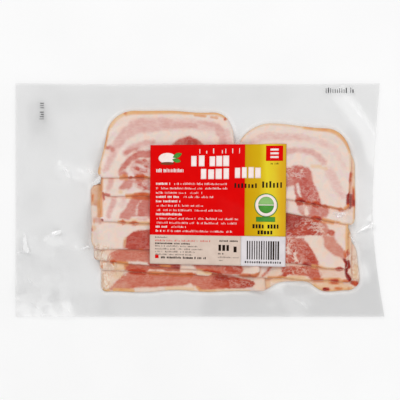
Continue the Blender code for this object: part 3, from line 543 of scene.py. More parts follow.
# The label's print, in millimetres from its upper left corner, rightwards and downwards.
LABEL_WIDTH = 102.7
LABEL_HEIGHT = 91.2
LABEL_STEP = 1.5
PANEL_LIFT = 0.04 * MM
MARK_LIFT = 0.05 * MM
LEAF_ROUND = 0.8
LEAF_TIP = 0.04
FIELD_BOTTOM = 68.9
GOLD_LEFT = 71.5
GREY_LEFT = 68.8
FIELDS = {
    "gold": (GOLD_LEFT, 0, LABEL_WIDTH, FIELD_BOTTOM),
    "cream": (0, FIELD_BOTTOM, GREY_LEFT, LABEL_HEIGHT),
    "grey": (GREY_LEFT, FIELD_BOTTOM, LABEL_WIDTH, LABEL_HEIGHT),
}
ROUND = (87.7, 45.7)

# Rows of plain marks: left, right, top and bottom edge, then the step from mark to mark, the least and
# greatest width as a share of it, the least height as a share of the row's, and the share of marks kept.
SMALL = (0.95, 0.22, 0.6, 0.45, 0.84)
BOLD = (1.1, 0.5, 0.85, 0.7, 0.88)
TITLE = (5.9, 0.66, 0.88, 0.86, 1)
THIN = (2.6, 0.12, 0.3, 0.35, 0.8)
BARS = (1.8, 0.35, 0.78, 1, 0.94)
WHITE_ROWS = (
    (29.9, 41.7, 8.2, 16.5, TITLE),
    (44.2, 59.8, 8.2, 16.5, (5.2, 0.66, 0.88, 0.9, 1)),
    (37.4, 60.2, 17.9, 26.2, (5.7, 0.7, 0.88, 0.84, 1)),
    (63.3, 83.9, 17.1, 25.4, (5.15, 0.66, 0.86, 0.86, 1)),
    (36, 52, 2.9, 6.8, THIN),
    (53, 69.5, 2.9, 6.8, THIN),
    (4.4, 25.6, 18, 21, BOLD),
    (4.3, 16.5, 28.8, 30.6, BOLD),
    (18, 58, 28.8, 30.6, SMALL),
    (4.3, 58.6, 32.3, 34, SMALL),
    (4.3, 40.6, 35.7, 37.4, SMALL),
    (4.3, 22.4, 38.8, 40.6, BOLD),
    (24, 47.6, 38.8, 40.5, SMALL),
    (4.3, 23.2, 42.2, 44, BOLD),
    (5, 40.6, 45.6, 47.2, SMALL),
    (5, 54.3, 49, 50.7, SMALL),
    (4.3, 24.6, 52.1, 53.9, BOLD),
    (5, 66.4, 55.2, 57, SMALL),
    (5, 66.4, 58.6, 60.3, SMALL),
    (4.3, 13.5, 61.7, 63.4, BOLD),
    (15, 27, 61.7, 63.3, SMALL),
    (4.3, 9, 64.8, 66.6, BOLD),
    (10, 61.9, 64.8, 66.5, SMALL),
)
BLACK_ROWS = (
    (63, 81.5, 28.2, 32.8, (2.6, 0.4, 0.62, 0.55, 1)),
    (84, 101, 27.4, 32.6, (2.7, 0.42, 0.66, 0.6, 1)),
    (77.2, 87, 59.8, 63, (2.3, 0.55, 0.75, 0.85, 1)),
    (88.5, 98.4, 59.8, 63, (2.3, 0.5, 0.75, 0.85, 1)),
    (81, 94, 64.4, 67.4, (2.4, 0.55, 0.78, 0.85, 1)),
    (90.7, 97.6, 13.9, 15.2, SMALL),
    (3.9, 13.5, 70.1, 71.2, SMALL),
    (3.9, 30.4, 74.7, 76, BOLD),
    (3.9, 37.6, 76.7, 77.9, SMALL),
    (3.9, 40, 78.9, 80.1, SMALL),
    (3.9, 34.6, 81, 82.2, SMALL),
    (3.9, 32.5, 83.2, 84.3, SMALL),
    (8.4, 43, 85.2, 86.9, BOLD),
    (51.4, 66.8, 72, 73.4, BOLD),
    (51.4, 60.4, 75.6, 80.3, (3, 0.62, 0.8, 0.9, 1)),
    (63, 66.8, 76.4, 81.2, (3, 0.62, 0.8, 0.9, 1)),
    (51.4, 56, 81.7, 83, BOLD),
    (51.4, 67.2, 84.4, 85.6, SMALL),
    (51.4, 55, 86.8, 87.8, SMALL),
    (72.9, 99, 72.4, 86.2, BARS),
    (71.6, 99.6, 87.4, 89, (1.75, 0.4, 0.6, 0.8, 1)),
)
RED_ROWS = (
    (3.9, 46, 72.4, 73.8, SMALL),
    (3.9, 6.8, 84.2, 86.9, (2.9, 0.9, 0.95, 1, 1)),
)

MARK_ROWS = (("white", 100, WHITE_ROWS), ("black", 300, BLACK_ROWS), ("red", 500, RED_ROWS))
MARK_INPUTS = {
    "Count": "Int", "Step": "Float", "Height": "Float", "Thinnest": "Float", "Widest": "Float",
    "Lowest": "Float", "Kept": "Float", "Rows": "Int", "Columns": "Int", "Seed": "Int", "Ink": "Material",
}

# Dot-printed marks on the film: where each row starts, the way it runs, its length and its height.
DATE_ROWS = (((94, 81.2), (1, 0), 24, 4.4), ((-118.4, 61.5), (0, 1), 13, 3.6))
DATE_STYLE = (1.7, 0.25, 0.5, 0.6, 0.85)
DATE_SEED = 700

# Each ink as a screen shows it, then the darker colour that it is mottled with.
INKS = {
    "red": ((226, 4, 4), (219, 1, 2)),
    "white": ((252, 240, 236), (246, 222, 218)),
    "black": ((44, 30, 22), (26, 18, 14)),
    "cream": ((222, 202, 188), (212, 190, 176)),
    "grey": ((228, 222, 224), (216, 210, 213)),
    "green": ((86, 158, 66), (58, 132, 48)),
    "light_green": ((150, 196, 120), (128, 180, 104)),
    "brown": ((132, 70, 44), (110, 54, 34)),
}
DATE_INK = ((84, 84, 86), (54, 54, 58))
INK_GLOSS = 0.04
INK_ROUGHNESS = 0.35
PANEL_ROUGHNESS = 0.3
GOLD_STOPS = (
    (0.0, (206, 156, 10)),
    (0.34, (212, 172, 20)),
    (0.52, (230, 208, 44)),
    (0.7, (226, 198, 44)),
    (0.88, (220, 172, 34)),
    (1.0, (212, 164, 36)),
)

# The meat's colours as a screen shows them, by their places on a ramp.
UPPER_FAT = ((0.3, (237, 211, 200)), (0.52, (240, 219, 209)), (0.7, (236, 213, 204)))
LOWER_FAT = ((0.3, (230, 194, 168)), (0.5, (235, 207, 187)), (0.7, (232, 213, 202)))
FAT_HUES = (
    (0.34, (250, 214, 190)),
    (0.46, (242, 220, 206)),
    (0.54, (228, 219, 203)),
    (0.66, (238, 208, 210)),
)
COOL_LEAN = (
    (0.0, (236, 206, 197)),
    (0.1, (231, 192, 183)),
    (0.22, (222, 172, 163)),
    (0.4, (211, 139, 127)),
    (0.55, (203, 112, 99)),
    (0.72, (190, 74, 62)),
    (1.0, (150, 4, 6)),
)
WARM_LEAN = (
    (0.0, (234, 202, 184)),
    (0.1, (229, 186, 164)),
    (0.22, (220, 164, 140)),
    (0.4, (212, 140, 118)),
    (0.55, (205, 112, 89)),
    (0.72, (187, 70, 44)),
    (1.0, (146, 4, 2)),
)
SMOKE = (
    (0.0, (236, 200, 160)),
    (0.3, (231, 174, 104)),
    (0.5, (224, 144, 74)),
    (0.68, (210, 98, 26)),
    (0.85, (190, 48, 0)),
    (1.0, (136, 8, 0)),
)
# A painted highlight along the crests of crumpled fat, then the darker gold-tan of its grooves.
CREST_HIGHLIGHT_COLOUR = (250, 232, 214)
GROOVE_COLOUR = (226, 164, 104)
# The warm painted shade that a slice on top casts onto the one below, next to its edge.
CONTACT_SHADE_COLOUR = (238, 150, 112)

# How much of each shows on the meat, and how wide its thin lines are in the noise that they follow.
CONTACT_SHARE = 0.35
MARBLE_SHARE = 0.78
LEAST_MARBLE = 0.16
BLOTCH_SHARE = 0.6
VEIN_WIDTH = 0.06
VEIN_STRETCH = (0.8, 1.2, 1)
CREST_WIDTH = 0.09
GROOVE_WIDTH = 0.04
MEAT_GLOSS = 0.15

# Colours of the film and the floor, in linear light, and the size of the film's crumpled facets.
FILM_DARK = (0.02, 0.02, 0.02, 1)
FILM_WHITE = (1, 1, 1, 1)
FACET_SIZE = 7 * MM
FLOOR_DARK = (0.96, 0.96, 0.96, 1)
FLOOR_LIGHT = (0.98, 0.98, 0.98, 1)

# The studio: the sky's strength, each lamp's place, size and power, the camera and the floor.
SKY_STRENGTH = 0.52
LIGHTS = (
    ("key", (-0.7, 0.9, 1.4), 0.9, 9.4),
    ("fill", (0.9, 0.5, 1.2), 0.7, 4.1),
    ("front", (0.2, -1.0, 1.1), 0.8, 4.5),
)
VIEW_WIDTH = 304 * MM
LENS = 200
SENSOR = 36
FLOOR_SIZE = 3


def rounded_outline(corners, radii, step):
    """Points round a quadrilateral with an arc at each corner, counter-clockwise."""
    corners = [Vector(corner) * MM for corner in corners]
    arcs = []
    for i, corner in enumerate(corners):
        back = (corners[i - 1] - corner).normalized()
        ahead = (corners[(i + 1) % len(corners)] - corner).normalized()
        half_angle = back.angle(ahead) / 2
        radius = radii[i] * MM
        centre = corner + (back + ahead).normalized() * radius / math.sin(half_angle)
        start = corner + back * radius / math.tan(half_angle) - centre
        turn = math.pi - 2 * half_angle
        count = max(2, math.ceil(radius * turn / step))
        arc = []
        for k in range(count + 1):
            angle = math.atan2(start.y, start.x) + turn * k / count
            arc.append(centre + radius * Vector((math.cos(angle), math.sin(angle))))
        arcs.append(arc)
    points = []
    for i, arc in enumerate(arcs):
        points += arc
        following = arcs[(i + 1) % len(arcs)][0]
        count = max(1, round((following - arc[-1]).length / step))
        points += [arc[-1].lerp(following, k / count) for k in range(1, count)]
    return np.array([tuple(point) for point in points])


def outward(ring):
    """Unit normals of a counter-clockwise ring."""
    along = np.roll(ring, -1, axis=0) - np.roll(ring, 1, axis=0)
    along /= np.linalg.norm(along, axis=1)[:, None]
    return np.column_stack([along[:, 1], -along[:, 0]])


def wavy(ring, random):
    """The ring with a few slow waves in it, as a cut slice has."""
    turn = np.arange(len(ring)) / len(ring) * 2 * math.pi
    waves = np.zeros(len(ring))
    for count in WAVES_ROUND_EDGE:
        strength = math.sqrt(WAVES_ROUND_EDGE[0] / count)
        waves += strength * np.sin(count * turn + random.uniform(0, 2 * math.pi))
    return ring + outward(ring) * (EDGE_WOBBLE * waves)[:, None]


def dented(ring, middle, half_width, depth):
    """Pushes the lower edge up round one place."""
    low = ring[:, 1] < ring[:, 1].mean()
    away = np.abs(ring[:, 0] - middle * MM) / (half_width * MM)
    push = depth * MM * np.exp(-(away**DENT_CURVE))
    ring[:, 1] += np.where(low, push, 0)
    return ring


def inside(ring, x, y):
    """True at the points that lie within a ring, by counting the edges crossed."""
    crossed = np.zeros(np.shape(x), bool)
    for (x0, y0), (x1, y1) in zip(ring, np.roll(ring, -1, axis=0), strict=True):
        spans = (y0 > y) != (y1 > y)
        with np.errstate(divide="ignore", invalid="ignore"):
            meets = x < (x1 - x0) * (y - y0) / (y1 - y0) + x0
        crossed ^= spans & meets
    return crossed


def shifted(field, steps_x, steps_y):
    return np.roll(field, (steps_y, steps_x), axis=(0, 1))


def widest(field, radius, slope=0.0):
    """The largest value within a radius of each cell, less what a slope takes off with distance."""
    reach = round(radius / CELL)
    out = field.copy()
    for i in range(-reach, reach + 1):
        for j in range(-reach, reach + 1):
            if i * i + j * j <= reach * reach:
                out = np.maximum(out, shifted(field, i, j) - slope * CELL * math.hypot(i, j))
    return out


def softened(field, radius):
    """A running mean over a square, taken twice."""
    reach = max(1, round(radius / CELL / 2))
    for _ in range(2):
        for axis in (0, 1):
            rolls = [np.roll(field, step, axis=axis) for step in range(-reach, reach + 1)]
            field = sum(rolls) / len(rolls)
    return field


def sample(field, points):
    """The field at each point, between its cells."""
    column = np.clip((points[:, 0] - GRID_X[0]) / CELL, 0, len(GRID_X) - 1.001)
    row = np.clip((points[:, 1] - GRID_Y[0]) / CELL, 0, len(GRID_Y) - 1.001)
    i, j = column.astype(int), row.astype(int)
    across, up = column - i, row - j
    lower = field[j, i] * (1 - across) + field[j, i + 1] * across
    upper = field[j + 1, i] * (1 - across) + field[j + 1, i + 1] * across
    return lower * (1 - up) + upper * up


def laid(stack, ring):
    """The top of a slice laid on the stack, and the stack with it. The slice spans small steps below it."""
    covered = inside(ring, CELLS_X, CELLS_Y)
    below = np.where(covered, stack, 0)
    share = softened(covered.astype(float), 2 * BRIDGE)
    spanned = np.where(covered, widest(below, BRIDGE), 0)
    bent = softened(spanned, 2 * BRIDGE) / np.maximum(share, LEAST_SHARE)
    top = np.maximum(np.where(share > LEAST_SHARE, bent, stack), below) + SLICE_THICKNESS
    return top, np.where(covered, top, stack)


def filled(ring, step):
    """Points and triangles that fill a ring, with points inside it on a staggered grid."""
    low, high = ring.min(axis=0), ring.max(axis=0)
    rows = np.arange(low[1], high[1], step * math.sqrt(3) / 2)
    grid = []
    for k, y in enumerate(rows):
        across = np.arange(low[0] + (k % 2) * step / 2, high[0], step)
        grid.append(np.column_stack([across, np.full(len(across), y)]))
    grid = np.concatenate(grid)
    grid = grid[inside(ring, grid[:, 0], grid[:, 1])]
    gap = np.full(len(grid), np.inf)
    for point in ring:
        gap = np.minimum(gap, np.hypot(*(grid - point).T))
    points = np.concatenate([ring, grid[gap > RING_CLEARANCE * step]])
    edges = [(i, (i + 1) % len(ring)) for i in range(len(ring))]
    places = [Vector(point) for point in points]
    made = geometry.delaunay_2d_cdt(places, edges, [], TRIANGLES_INSIDE, TOUCHING)
    return np.array([tuple(point) for point in made[0]]), made[2]


def value_noise(points, size, seed):
    """Smooth noise from -1 to 1 at each point, of one grain size."""
    random = np.random.default_rng(seed)
    lattice = random.uniform(-1, 1, (LATTICE, LATTICE))
    column, row = (points / size + LATTICE_SHIFT).T
    i, j = np.floor(column).astype(int), np.floor(row).astype(int)
    across, up = column - i, row - j
    across, up = across * across * (3 - 2 * across), up * up * (3 - 2 * up)
    corner = [[lattice[(j + dj) % LATTICE, (i + di) % LATTICE] for di in (0, 1)] for dj in (0, 1)]
    lower = corner[0][0] * (1 - across) + corner[0][1] * across
    upper = corner[1][0] * (1 - across) + corner[1][1] * across
    return lower * (1 - up) + upper * up


def depth_in(points, path):
    """How deep each point lies in a tapered stroke, in millimetres. Points outside it count below zero."""
    best = np.full(len(points), -float(FAR))
    for (x0, y0, w0), (x1, y1, w1) in zip(path, path[1:] or path, strict=False):
        start, along = np.array((x0, y0)), np.array((x1 - x0, y1 - y0), float)
        share = np.clip((points / MM - start) @ along / max(along @ along, 1e-9), 0, 1)
        away = np.linalg.norm(points / MM - start - share[:, None] * along, axis=1)
        best = np.maximum(best, w0 + (w1 - w0) * share - away)
    return best


def depth_in_edge(nearest, gap, ring, dark, start, end):
    """The same for a stroke along the outline, counter-clockwise. A dark one is wider and its ends taper."""
    first, last = [np.argmin(np.hypot(*(ring / MM - place[:2]).T)) for place in (start, end)]
    span = (last - first) % len(ring)
    steps = (nearest - first) % len(ring)
    width = start[2] + (end[2] - start[2]) * steps / max(span, 1)
    width += DARK_SPREAD if dark else STAIN_SPREAD
    if dark:
        width *= np.clip((np.minimum(steps, span - steps) + 1) / STAIN_TAPER, 0, 1)
    return np.where(steps <= span, width - gap / MM, -float(FAR))


def nearest_on(ring, points):
    """For each point, the ring's nearest point and how far away it is."""
    index = np.zeros(len(points), int)
    gap = np.full(len(points), np.inf)
    for i, place in enumerate(ring):
        away = np.hypot(*(points - place).T)
        index = np.where(away < gap, i, index)
        gap = np.minimum(gap, away)
    return index, gap


def depth_in_area(points, corners):
    """How deep each point lies in a many-sided area, in millimetres. Points outside it count below zero."""
    away = -depth_in(points, [(*corner, 0) for corner in (*corners, corners[0])])
    return np.where(inside(np.array(corners) * MM, *points.T), away, -away)


def stain_share(depth, strength):
    """How much of the meat's colour a stain covers. Dark stains are sharper and cover more."""
    soft = STAIN_SOFTEST + (STAIN_SHARPEST - STAIN_SOFTEST) * strength
    return np.clip(0.5 + depth / (2 * soft), 0, 1) * (STAIN_THINNEST + (1 - STAIN_THINNEST) * strength)


def from_above(points, above):
    """How close each point is to the edge of a slice on top, and that edge's stains carried past it as
    painted shade.
    """
    contact = np.zeros(len(points))
    edge_shades = []
    for ring, marks in above:
        nearest, away = nearest_on(ring, points)
        covered = inside(ring, *points.T)
        contact = np.maximum(contact, np.where(covered, 1, 1 - away / CONTACT_REACH))
        for kind, strength, *path in marks:
            if kind == "edge":
                depth = depth_in_edge(nearest, away, ring, strength > AMBER, *path)
                edge_shades.append((strength, np.where(covered, -float(FAR), depth)))
    return contact, edge_shades


def painted(points, ring, marks, above):
    """The fields that a slice's marks give at each point."""
    nearest, gap = nearest_on(ring, points)
    fields = {key: np.zeros(len(points)) for key in ("stain", "marble", "crinkle")}
    lean = np.full(len(points), -float(FAR))
    tone = np.full(len(points), DEFAULT_TONE)
    char = np.full(len(points), GOLD)
    fields["contact"], edge_shades = from_above(points, above)
    # The painted shade next to the edges of slices on top is laid in first, in the colours of their stains.
    stains = [(strength, stain_share(depth, strength) * EDGE_SHADE_SHARE) for strength, depth in edge_shades]
    for kind, strength, *path in marks:
        if kind == "edge":
            depth = depth_in_edge(nearest, gap, ring, strength > AMBER, *path)
        elif kind in ("area", "wash"):
            depth = depth_in_area(points, path)
        else:
            depth = depth_in(points, path)
        weight = np.clip(depth / (MARBLE_BLEND if kind == "marble" else BLEND) + 1, 0, 1)
        if kind in ("lean", "area"):
            lean = np.maximum(lean, depth)
            tone += (strength - tone) * weight
        elif kind == "fat":
            lean = np.minimum(lean, -depth)
        elif kind in ("marble", "crinkle"):
            fields[kind] += (strength - fields[kind]) * weight
        else:
            stains.append((strength, stain_share(depth, strength) * (WASH_SHARE if kind == "wash" else 1)))
    for strength, share in stains:
        covered = np.maximum(share + fields["stain"] * (1 - share), 1e-6)
        char += (strength - char) * share / covered
        fields["stain"] = np.maximum(fields["stain"], share)
    return {"lean": lean, "tone": tone, "char": char, **fields}


def made_mesh(name, points, faces, fields=None):
    """An object of a closed mesh whose faces point outwards, with a number for each point in each field."""
    mesh = bpy.data.meshes.new(name)
    mesh.from_pydata([tuple(point) for point in points], [], [tuple(face) for face in faces])
    builder = bmesh.new()
    builder.from_mesh(mesh)
    bmesh.ops.recalc_face_normals(builder, faces=builder.faces)
    builder.to_mesh(mesh)
    builder.free()
    for key, values in (fields or {}).items():
        layer = mesh.attributes.new(key, "FLOAT", "POINT")
        layer.data.foreach_set("value", np.asarray(values, np.float32))
    mesh.shade_smooth()
    made = bpy.data.objects.new(name, mesh)
    bpy.context.scene.collection.objects.link(made)
    return made


def walls(first, second):
    """Quads between two rows of point numbers."""
    return [
        (first[k], first[(k + 1) % len(first)], second[(k + 1) % len(second)], second[k])
        for k in range(len(first))
    ]


def slice_relief(flat, fields, number):
    """Bumps, grain and crinkles on a slice's top, and its lean a little sunk."""
    relief = BUMP_HEIGHT * value_noise(flat, BUMP_SIZE, number)
    relief += GRAIN_HEIGHT * value_noise(flat, GRAIN_SIZE, number + GRAIN_SEED)
    creased = np.abs(value_noise(flat * CRINKLE_STRETCH, CRINKLE_SIZE, number + CRINKLE_SEED))
    relief += CRINKLE_HEIGHT * fields["crinkle"] * (0.5 - creased)
    return relief - LEAN_SINK * np.clip(fields["lean"] + 0.5, 0, 1)


def slice_piece(name, ring, top, number, above):
    """One slice: a sheet of even thickness with a round rim, bent as it lies."""
    normals = outward(ring)
    flat, triangles = filled(ring - normals * RIM_INNER, SLICE_STEP)
    count = len(ring)
    face_fields = painted(flat, ring, MARKS[name], above)
    rim_rows = [ring - normals * inset * MM for inset, _ in RIM[1:]]
    rim_fields = painted(np.concatenate(rim_rows), ring, MARKS[name], above)
    high = sample(top, flat) + slice_relief(flat, face_fields, number)
    low = sample(top, flat) - SLICE_THICKNESS + SLICE_CLEARANCE
    rows = [np.column_stack([flat, high])]
    thickness = SLICE_THICKNESS - SLICE_CLEARANCE
    for place, (_, drop) in zip(rim_rows, RIM[1:], strict=True):
        share = drop * MM / thickness
        rows.append(np.column_stack([place, high[:count] * (1 - share) + low[:count] * share]))
    rows.append(np.column_stack([flat, low]))
    starts = np.cumsum([0] + [len(row) for row in rows])
    faces = [tuple(triangle) for triangle in triangles]
    faces += [tuple(starts[-2] + i for i in reversed(triangle)) for triangle in triangles]
    for upper, lower in zip(starts[:-2], starts[1:-1], strict=True):
        faces += walls([upper + k for k in range(count)], [lower + k for k in range(count)])
    fields = {}
    for key, values in face_fields.items():
        fields[key] = np.concatenate([values, rim_fields[key], values])
    fields["level"] = np.full(len(fields["lean"]), number / (len(SLICES) - 1))
    return made_mesh("slice_" + name, np.concatenate(rows), faces, fields)


def outline_right(up):
    """The x of the pouch's right edge at each height."""
    half = POUCH_WIDTH / 2
    over = np.abs((up - WAIST_Y) / (half - WAIST_Y)) ** WAIST_CURVE
    under = np.abs((WAIST_Y - up) / (half + WAIST_Y)) ** WAIST_CURVE
    upper = WAIST_X + (TOP_RIGHT_X - WAIST_X) * over
    lower = WAIST_X + (POUCH_LENGTH / 2 - WAIST_X) * under
    return np.where(up > WAIST_Y, upper, lower)


def ridge_height(points, gap):
    """The border's ridges, which fade out towards the slices."""
    total = np.zeros(len(points))
    for start, end, half_width, height in RIDGES:
        away = -depth_in(points, ((*start, 0), (*end, 0)))
        total += height * MM * np.exp(-((away / half_width) ** 2))
    fade = np.clip((gap - BORDER_FLAT) / BORDER_RISE, 0, 1)
    return total * fade * fade * (3 - 2 * fade)


def crease_fields(points):
    """How high the creases make the film at each point, how white their painted highlight is there, and the
    painted light and shade of soft patches and crumpled facets.
    """
    height = np.zeros(len(points))
    crease = np.zeros(len(points))
    for strength, rise, *path in CREASES:
        depth = depth_in(points, path) + CREASE_RAGGED * value_noise(points, CREASE_SIZE, CREASE_SEED)
        height += rise * MM * np.clip(depth / path[0][2], 0, 1)
        crease = np.maximum(crease, strength * np.clip(CREASE_START + depth / CREASE_SOFT, 0, 1))
    shade = np.zeros(len(points))
    for strength, fade, *path in SHADES:
        shade += strength * np.clip(1 + depth_in(points, path) / fade, 0, 1) ** 2
    crumple_shading = np.zeros(len(points))
    for strength, fade, *path in CRUMPLES:
        crumple_shading = np.maximum(crumple_shading, strength * np.clip(1 + depth_in(points, path) / fade, 0, 1))
    return height, {"crease": crease, "shade": shade, "crumple_shading": crumple_shading}


def label_bed(stack):
    """The height of the film that is held flat under the label, smooth over the steps below."""
    corners = np.array(LABEL_CORNERS) * MM
    near = inside(corners * BED_REACH, CELLS_X, CELLS_Y)
    return softened(widest(np.where(near, stack, 0), LABEL_BRIDGE), LABEL_BRIDGE)


def film_height(stack, bed):
    """The film's height over the contents: tight over them, and tented from each edge."""
    under_label = inside(np.array(LABEL_CORNERS) * MM, CELLS_X, CELLS_Y)
    held = np.where(under_label, bed, stack)
    tented = widest(held, FILM_REACH, FILM_SLOPE)
    close = widest(stack, 1.5 * CELL) + FILM_GAP
    return np.maximum(softened(tented, FILM_SOFT) + FILM_GAP, np.where(stack > 0, close, 0))


def film_piece(stack, bed):
    """The pouch's two films as one closed skin, sealed round their border."""
    columns = round(POUCH_LENGTH / FILM_STEP)
    rows = round(POUCH_WIDTH / FILM_STEP)
    share_x, share_y = np.meshgrid(np.linspace(0, 1, columns), np.linspace(0, 1, rows))
    up = (share_y - 0.5) * POUCH_WIDTH
    left = -POUCH_LENGTH / 2
    across = left + share_x * (outline_right(up) - left)
    up = up - share_y * TOP_EDGE_WAVE * np.sin(across * math.pi / (POUCH_LENGTH / 2)) ** 2
    flat = np.column_stack([across.ravel(), up.ravel()])
    contents = stack > 0
    rim = contents & ~(shifted(contents, 1, 0) & shifted(contents, -1, 0) & shifted(contents, 0, 1)
                       & shifted(contents, 0, -1))
    _, gap = nearest_on(np.column_stack([CELLS_X[rim], CELLS_Y[rim]]), flat)
    gap = np.where(sample(contents.astype(float), flat) > 0.5, 0, gap)
    crease, fields = crease_fields(flat)
    wrinkle = FILM_WRINKLE * value_noise(flat * WRINKLE_STRETCH, WRINKLE_SIZE, WRINKLE_SEED) + crease
    wrinkle = wrinkle * np.clip(gap / BORDER_FLAT, LEAST_WRINKLE, 1)
    border = BORDER_LIFT + ridge_height(flat, gap)
    low = np.where(gap > 0, border + wrinkle, FILM_FLOOR)
    low = np.where(gap > 0, low * np.clip(gap / BORDER_FLAT, LEAST_BORDER, 1), low).clip(FILM_FLOOR)
    high = np.maximum(sample(film_height(stack, bed), flat), low + LEAST_THICKNESS)
    high += np.where(gap > 0, 0, wrinkle.clip(0))
    count = rows * columns
    number = np.arange(count).reshape(rows, columns)
    rim_line = np.concatenate([number[0, :-1], number[:-1, -1], number[-1, :0:-1], number[:0:-1, 0]])
    corners = [number[:-1, :-1], number[:-1, 1:], number[1:, 1:], number[1:, :-1]]
    over = np.stack([corner.ravel() for corner in corners], axis=1)
    faces = [*over.tolist(), *(over[:, ::-1] + count).tolist()]
    faces += walls((rim_line + count).tolist(), rim_line.tolist())
    points = np.concatenate([np.column_stack([flat, high]), np.column_stack([flat, low])])
    fields["gap"] = gap / MM
    fields = {key: np.tile(values, 2) for key, values in fields.items()}
    return made_mesh("film_pouch", points, faces, fields)


def on_label(places):
    """World x and y of places on the label, given in millimetres from its upper left corner."""
    places = np.asarray(places, float)
    across = (places[:, 0] / LABEL_WIDTH)[:, None]
    down = (places[:, 1] / LABEL_HEIGHT)[:, None]
    lower_left, lower_right, upper_right, upper_left = np.array(LABEL_CORNERS) * MM
    upper = upper_left + (upper_right - upper_left) * across
    lower = lower_left + (lower_right - lower_left) * across
    return upper + (lower - upper) * down


def plate(x0, y0, x1, y1):
    """Grid points and faces of a flat rectangle on the label."""
    columns = max(2, math.ceil((x1 - x0) / LABEL_STEP) + 1)
    rows = max(2, math.ceil((y1 - y0) / LABEL_STEP) + 1)
    across, down = np.meshgrid(np.linspace(x0, x1, columns), np.linspace(y0, y1, rows))
    number = np.arange(rows * columns).reshape(rows, columns)
    corners = [number[1:, :-1], number[1:, 1:], number[:-1, 1:], number[:-1, :-1]]
    faces = np.stack([corner.ravel() for corner in corners], axis=1)
    rim = np.concatenate([number[-1, :-1], number[:0:-1, -1], number[0, :0:-1], number[:-1, 0]])
    return np.column_stack([across.ravel(), down.ravel()]), faces.tolist(), rim.tolist()


def oval(x, y, half_width, half_height, start=0.0, turn=1.0, sides=48):
    """Points and faces of an oval on the label, or of a slice of one between two shares of a turn."""
    rings = max(2, math.ceil(max(half_width, half_height) / LABEL_STEP))
    places = [(x, y)]
    steps = sides if turn == 1.0 else sides + 1
    for ring in range(1, rings + 1):
        for k in range(steps):
            angle = -2 * math.pi * (start + turn * k / sides)
            places.append((x + half_width * ring / rings * math.cos(angle),
                           y + half_height * ring / rings * math.sin(angle)))
    faces = [(0, 1 + k, 1 + (k + 1) % steps) for k in range(sides)]
    for ring in range(rings - 1):
        inner = [1 + ring * steps + k for k in range(steps)]
        outer = [1 + (ring + 1) * steps + k for k in range(steps)]
        faces += walls(outer, inner)[:sides]
    rim = [1 + (rings - 1) * steps + k for k in range(steps)]
    if turn != 1.0:
        rim += [1 + ring * steps + steps - 1 for ring in range(rings - 2, -1, -1)]
        rim += [0] + [1 + ring * steps for ring in range(rings - 1)]
    return np.array(places), faces, rim


def leaf(x, y, length, width, lean):
    """Points and faces of a leaf on the label, from its stalk end, its size and the way that it points."""
    steps = max(4, math.ceil(length / LABEL_STEP * 2))
    along = np.linspace(0, 1, steps)
    half = width / 2 * np.sin(math.pi * along) ** LEAF_ROUND
    half[0], half[-1] = LEAF_TIP, LEAF_TIP
    angle = math.radians(lean)
    ahead, aside = np.array((math.cos(angle), -math.sin(angle))), np.array((math.sin(angle), math.cos(angle)))
    rows = []
    for side in (-1, 0, 1):
        rows.append((x, y) + np.outer(along * length, ahead) + np.outer(side * half, aside))
    first, middle, last = (np.arange(steps) + steps * k for k in range(3))
    faces = walls(first.tolist(), middle.tolist())[:-1] + walls(middle.tolist(), last.tolist())[:-1]
    rim = [*first.tolist(), int(middle[-1]), *last[::-1].tolist(), int(middle[0])]
    return np.concatenate(rows), faces, rim


def joined(name, patches, material):
    """One piece of several patches, each given as its points and faces."""
    points, faces = [], []
    start = 0
    for places, patch_faces in patches:
        points.append(places)
        faces += [tuple(start + i for i in face) for face in patch_faces]
        start += len(places)
    piece = made_mesh(name, np.concatenate(points), faces)
    piece.data.materials.append(material)
    return piece


def printed(name, patches, bed, lift, thickness, material):
    """A piece of print: flat patches laid on the label, each with a top, an underside and an edge."""
    solids = []
    for places, patch_faces, rim in patches:
        flat = on_label(places)
        low = sample(bed, flat) + lift
        count = len(flat)
        faces = [tuple(reversed(face)) for face in patch_faces]
        faces += [tuple(count + i for i in face) for face in patch_faces]
        faces += walls(rim, [count + i for i in rim])
        both = [np.column_stack([flat, low]), np.column_stack([flat, low + thickness])]
        solids.append((np.concatenate(both), faces))
    return joined(name, solids, material)


def finish_piece(piece, slot, *nodes):
    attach(piece, "root")
    if nodes:
        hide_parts(*nodes)


def screen(red, green, blue):
    """A colour as a screen shows it, in the linear light that a shader takes."""
    linear = []
    for value in (red, green, blue):
        value /= 255
        linear.append(value / 12.92 if value <= 0.04045 else ((value + 0.055) / 1.055) ** 2.4)
    return (*linear, 1)


def put(tree, socket, value):
    """Wires a value into a socket, or sets it there."""
    if isinstance(value, bpy.types.NodeSocket):
        tree.links.new(value, socket)
    else:
        socket.default_value = value


def add_node(tree, kind, output, inputs, **settings):
    """One output of a new node whose settings and inputs are as given."""
    node = tree.nodes.new(kind)
    for key, value in settings.items():
        setattr(node, key, value)
    for key, value in inputs.items():
        put(tree, node.inputs[key], value)
    return node.outputs[output]


